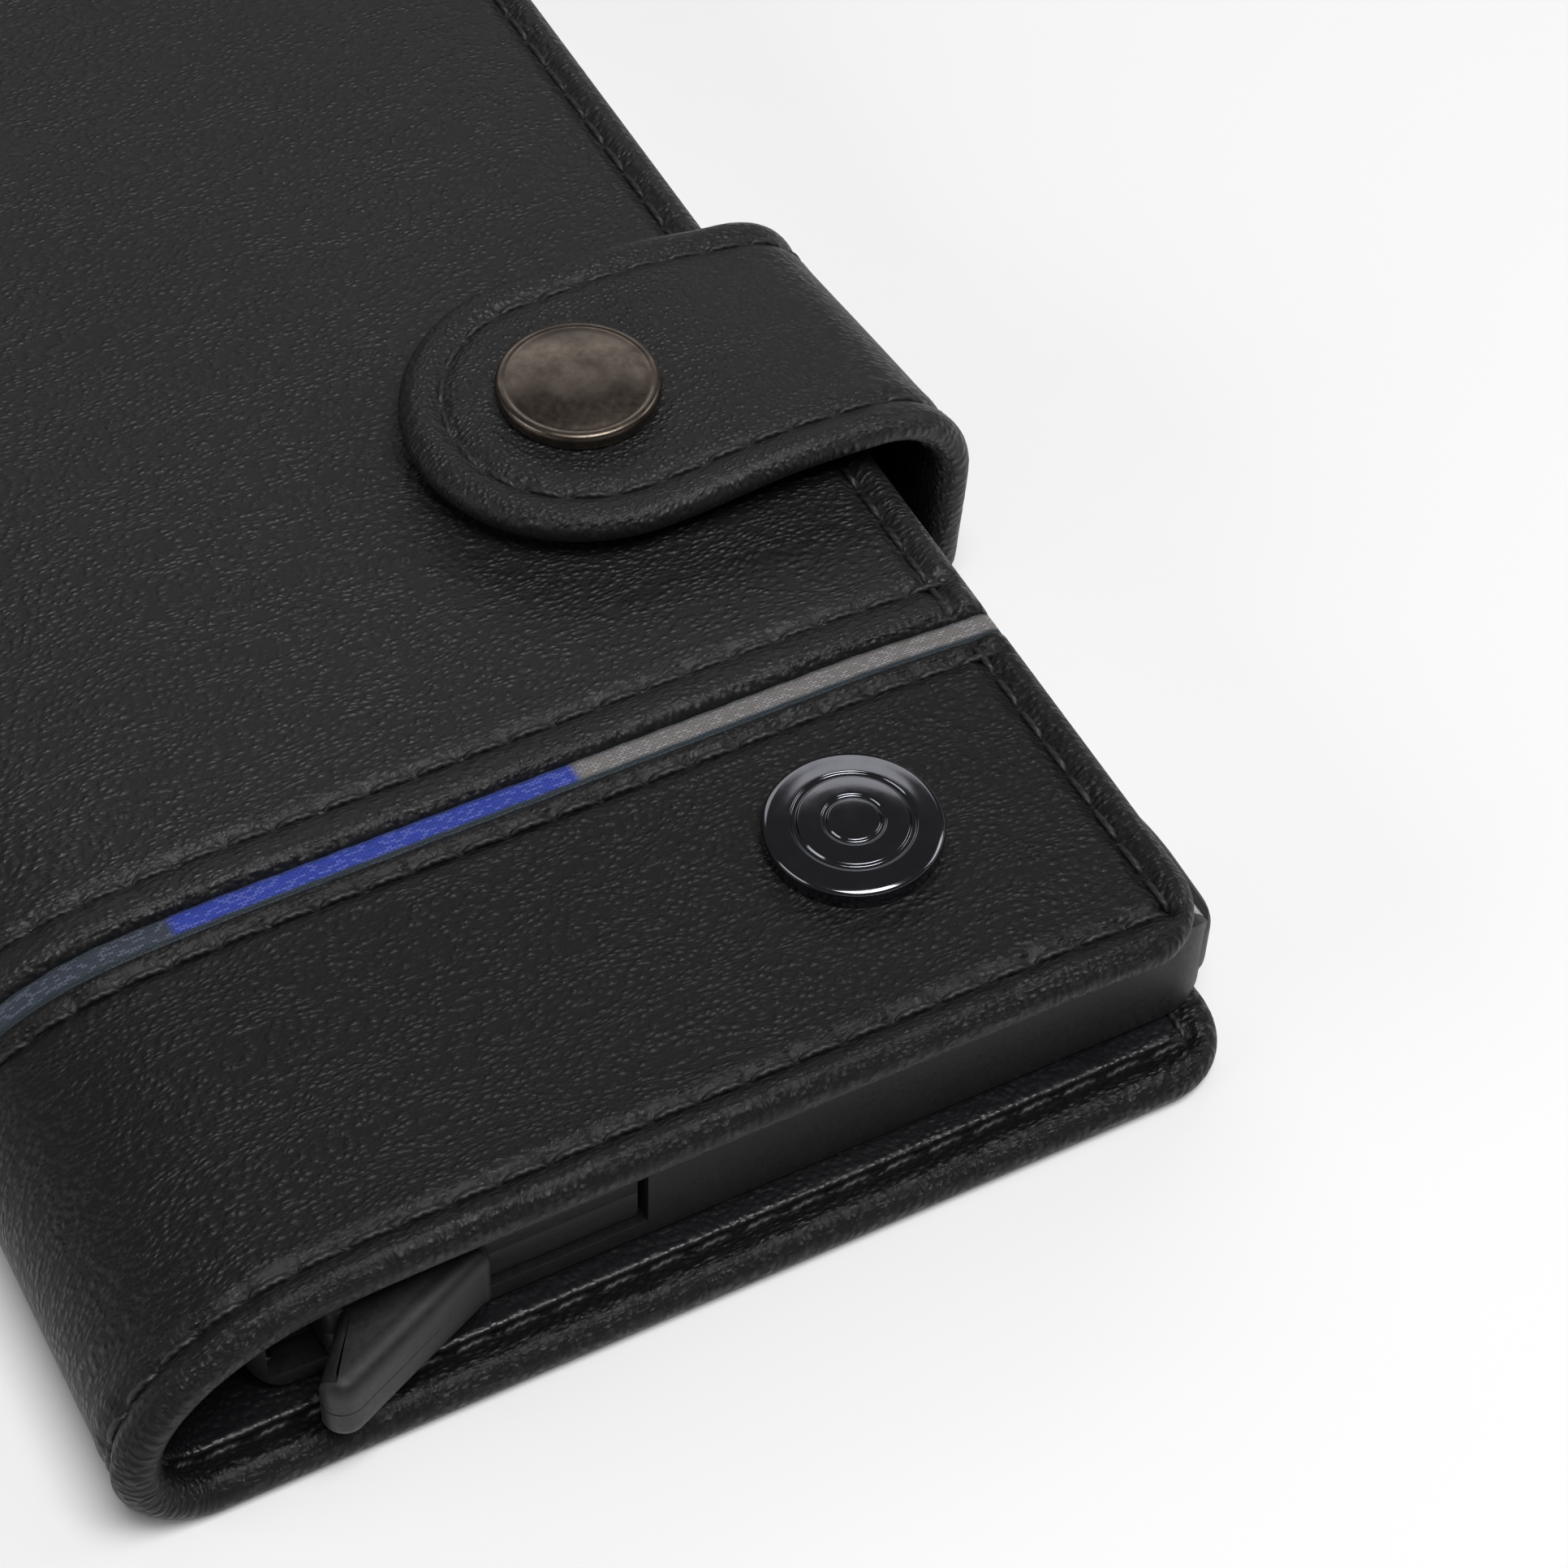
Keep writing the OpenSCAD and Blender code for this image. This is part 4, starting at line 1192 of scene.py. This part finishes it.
# ---------------------------------------------------------------- the lever
LX0, LY0 = float(LEVER_LO[0]), float(LEVER_LO[1])
LZ0, LZ1 = float(LEVER_LO[2]), float(LEVER_HI[2])
LZM = (LZ0 + LZ1) / 2
PX = float(PIN_LO[0] + PIN_HI[0]) / 2
PY = float(PIN_LO[1] + PIN_HI[1]) / 2
TAB = 11.8
CASE_Y = float(box_mm("case_end_cap")[0][1])
arc = [math.radians(a) for a in np.linspace(180, 290, 10)]
lever_outline = np.concatenate(
    [
        [(LX0 + 1.35 + 1.35 * math.cos(a), LY0 + 1.35 + 1.35 * math.sin(a)) for a in arc],
        round_polygon(
            [
                (LX0 + TAB - 0.25, CASE_Y - 1.4, 1.1), (LX0 + TAB, CASE_Y - 0.5, 0.5),
                (LX0 + TAB, CASE_Y + 0.35, 0.0), (LX0 + 21.4, CASE_Y + 0.35, 0.0),
                (LX0 + 21.4, CASE_Y + 2.2, 0.0), (PX - 3, CASE_Y + 2.2, 0.0), (PX - 3, PY + 2.8, 0.0),
                (LX0, CASE_Y + 6.2, 0.0), (LX0, CASE_Y + 5.7, 0.0), (LX0 + 2, CASE_Y + 5.7, 0.0),
                (LX0 + 2, CASE_Y - 0.6, 0.8),
            ]
        ),
    ]
)
half_levels = [(0, 1.05), (0.05, 0.74), (0.17, 0.45), (0.36, 0.22), (0.62, 0.07), (0.95, 0.0), (1.5, 0.0)]
half_levels += [(LZM - LZ0 - 0.08, 0.0), (LZM - LZ0 - 0.03, 0.07)]
tab_share = 0.22 + 0.78 * smooth((CASE_Y - lever_outline[:, 1]) / 1.2)
levels = [(LZ0 + a, b) for a, b in half_levels] + [(LZ1 - a, b) for a, b in half_levels[::-1]]
parts = [loft("lever_body", lever_outline, levels, tab_share)]
STEP = (LZ1 - LZ0) / 5
for k in range(5):
    z0, z1 = LZ0 + k * STEP + 0.02, LZ0 + (k + 1) * STEP - 0.02
    top = CASE_Y + 6.2 + 0.6 + k * 1.1
    outline = round_polygon(
        [(LX0 + 0.05, CASE_Y + 5.4, 0), (LX0 + 9, CASE_Y + 5.4, 0), (LX0 + 9, top, 0.5), (LX0 + 0.05, top, 0.5)], 4
    )
    parts.append(loft(f"lever_step{k}", outline, [(z0, 0.08), (z0 + 0.1, 0), (z1 - 0.1, 0), (z1, 0.08)]))
hub = lathe(
    "lever_hub",
    eased(
        [
            (1.55, LZ0, 0.1), (2.7, LZ0, 0.2), (3.0, LZ0 + 0.25, 0.2), (3.0, LZ1 - 0.25, 0.2), (2.7, LZ1, 0.2),
            (1.55, LZ1, 0.1), (1.55, LZ0),
        ]
    ),
    (PX, PY),
    64,
)
parts.append(hub)
lever = join(parts, "thumb_lever")
seat(lever, LEVER, "lever_plastic", "lever", "eject_lever")

# ---------------------------------------------------------------- CAD nodes that stay
KEPT = {
    "back_board": BOARD,
    "front_board": BOARD,
    "case_pad": FOAM,
    "guide_left": GUIDE,
    "guide_right": GUIDE,
    "lever_pin": STEEL,
    "badge_washer": STEEL,
    "stud_washer": STEEL,
}
for node, mat in KEPT.items():
    paint(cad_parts[node], mat)

# ---------------------------------------------------------------- stage
FLOOR = 3.0
fl = mesh_object("floor", [(FLOOR * i, FLOOR * j, 0) for i, j in ((-1, -1), (1, -1), (1, 1), (-1, 1))], [[0, 1, 2, 3]])
fm, fnt, fb = new_material("pale_floor")
fw = Web(fnt)
fn = fw.noise(fw.place_mm(), 0.01, 2.0)
fw.link(fw.mix(fn.outputs["Fac"], (0.93, 0.93, 0.93, 1), (0.95, 0.95, 0.95, 1)), fb.inputs["Base Color"])
fb.inputs["Roughness"].default_value = 0.9
paint(fl, fm)
fl.location.z = -0.00005

world = bpy.data.worlds.new("studio")
bpy.context.scene.world = world
world.use_nodes = True
bg = world.node_tree.nodes["Background"]
bg.inputs[0].default_value = (1, 1, 1, 1)
bg.inputs[1].default_value = 0.08


def softbox(name, at, aim, size, power):
    light = bpy.data.lights.new(name, "AREA")
    light.shape = "RECTANGLE"
    light.size, light.size_y = size
    light.energy = power
    ob = bpy.data.objects.new(name, light)
    bpy.context.scene.collection.objects.link(ob)
    ob.location = at
    ob.rotation_euler = (Vector(aim) - Vector(at)).to_track_quat("-Z", "Y").to_euler()
    return ob


softbox("top", (0.05, -0.30, 0.80), (0, 0, 0), (0.5, 0.4), 6.0)
softbox("left", (-0.75, 0.05, 0.35), (0, 0, 0.0), (0.5, 0.35), 1.3)
softbox("far", (0.30, 0.78, 0.55), (0, 0, 0.0), (1.0, 0.42), 1.6)
softbox("right", (0.7, -0.1, 0.45), (0, 0, 0.0), (0.4, 0.3), 1.0)

# ---------------------------------------------------------------- camera
AZIMUTH = math.radians(-30.02)
ELEVATION = math.radians(50.11)
ROLL = math.radians(2.76)
DISTANCE = 235.56
FOCAL = 5063.86
SIDE, RISE = 22.08, -7.18
TARGET = np.array([FX - ROW_FRONT, YF + ROW_FRONT, Z_TOP])

flat = math.cos(ELEVATION)
back_v = np.array([math.sin(AZIMUTH) * flat, -math.cos(AZIMUTH) * flat, math.sin(ELEVATION)])
right_v = np.cross([0, 0, 1], back_v)
right_v /= np.linalg.norm(right_v)
up_v = np.cross(back_v, right_v)
c_r, s_r = math.cos(ROLL), math.sin(ROLL)
right_r = c_r * right_v + s_r * up_v
up_r = -s_r * right_v + c_r * up_v
eye = TARGET + right_r * -SIDE + up_r * -RISE + back_v * DISTANCE
cam_data = bpy.data.cameras.new("camera")
FRAME_PX, SENSOR_MM = 1932, 36.0
cam_data.sensor_width = SENSOR_MM
cam_data.lens = FOCAL / FRAME_PX * SENSOR_MM
cam_data.clip_start = 0.005
cam = bpy.data.objects.new("camera", cam_data)
bpy.context.scene.collection.objects.link(cam)
cam.matrix_world = Matrix(
    [
        [right_r[0], up_r[0], back_v[0], eye[0] * MM],
        [right_r[1], up_r[1], back_v[1], eye[1] * MM],
        [right_r[2], up_r[2], back_v[2], eye[2] * MM],
        [0, 0, 0, 1],
    ]
)
bpy.context.scene.camera = cam
bpy.context.scene.view_settings.view_transform = "Standard"
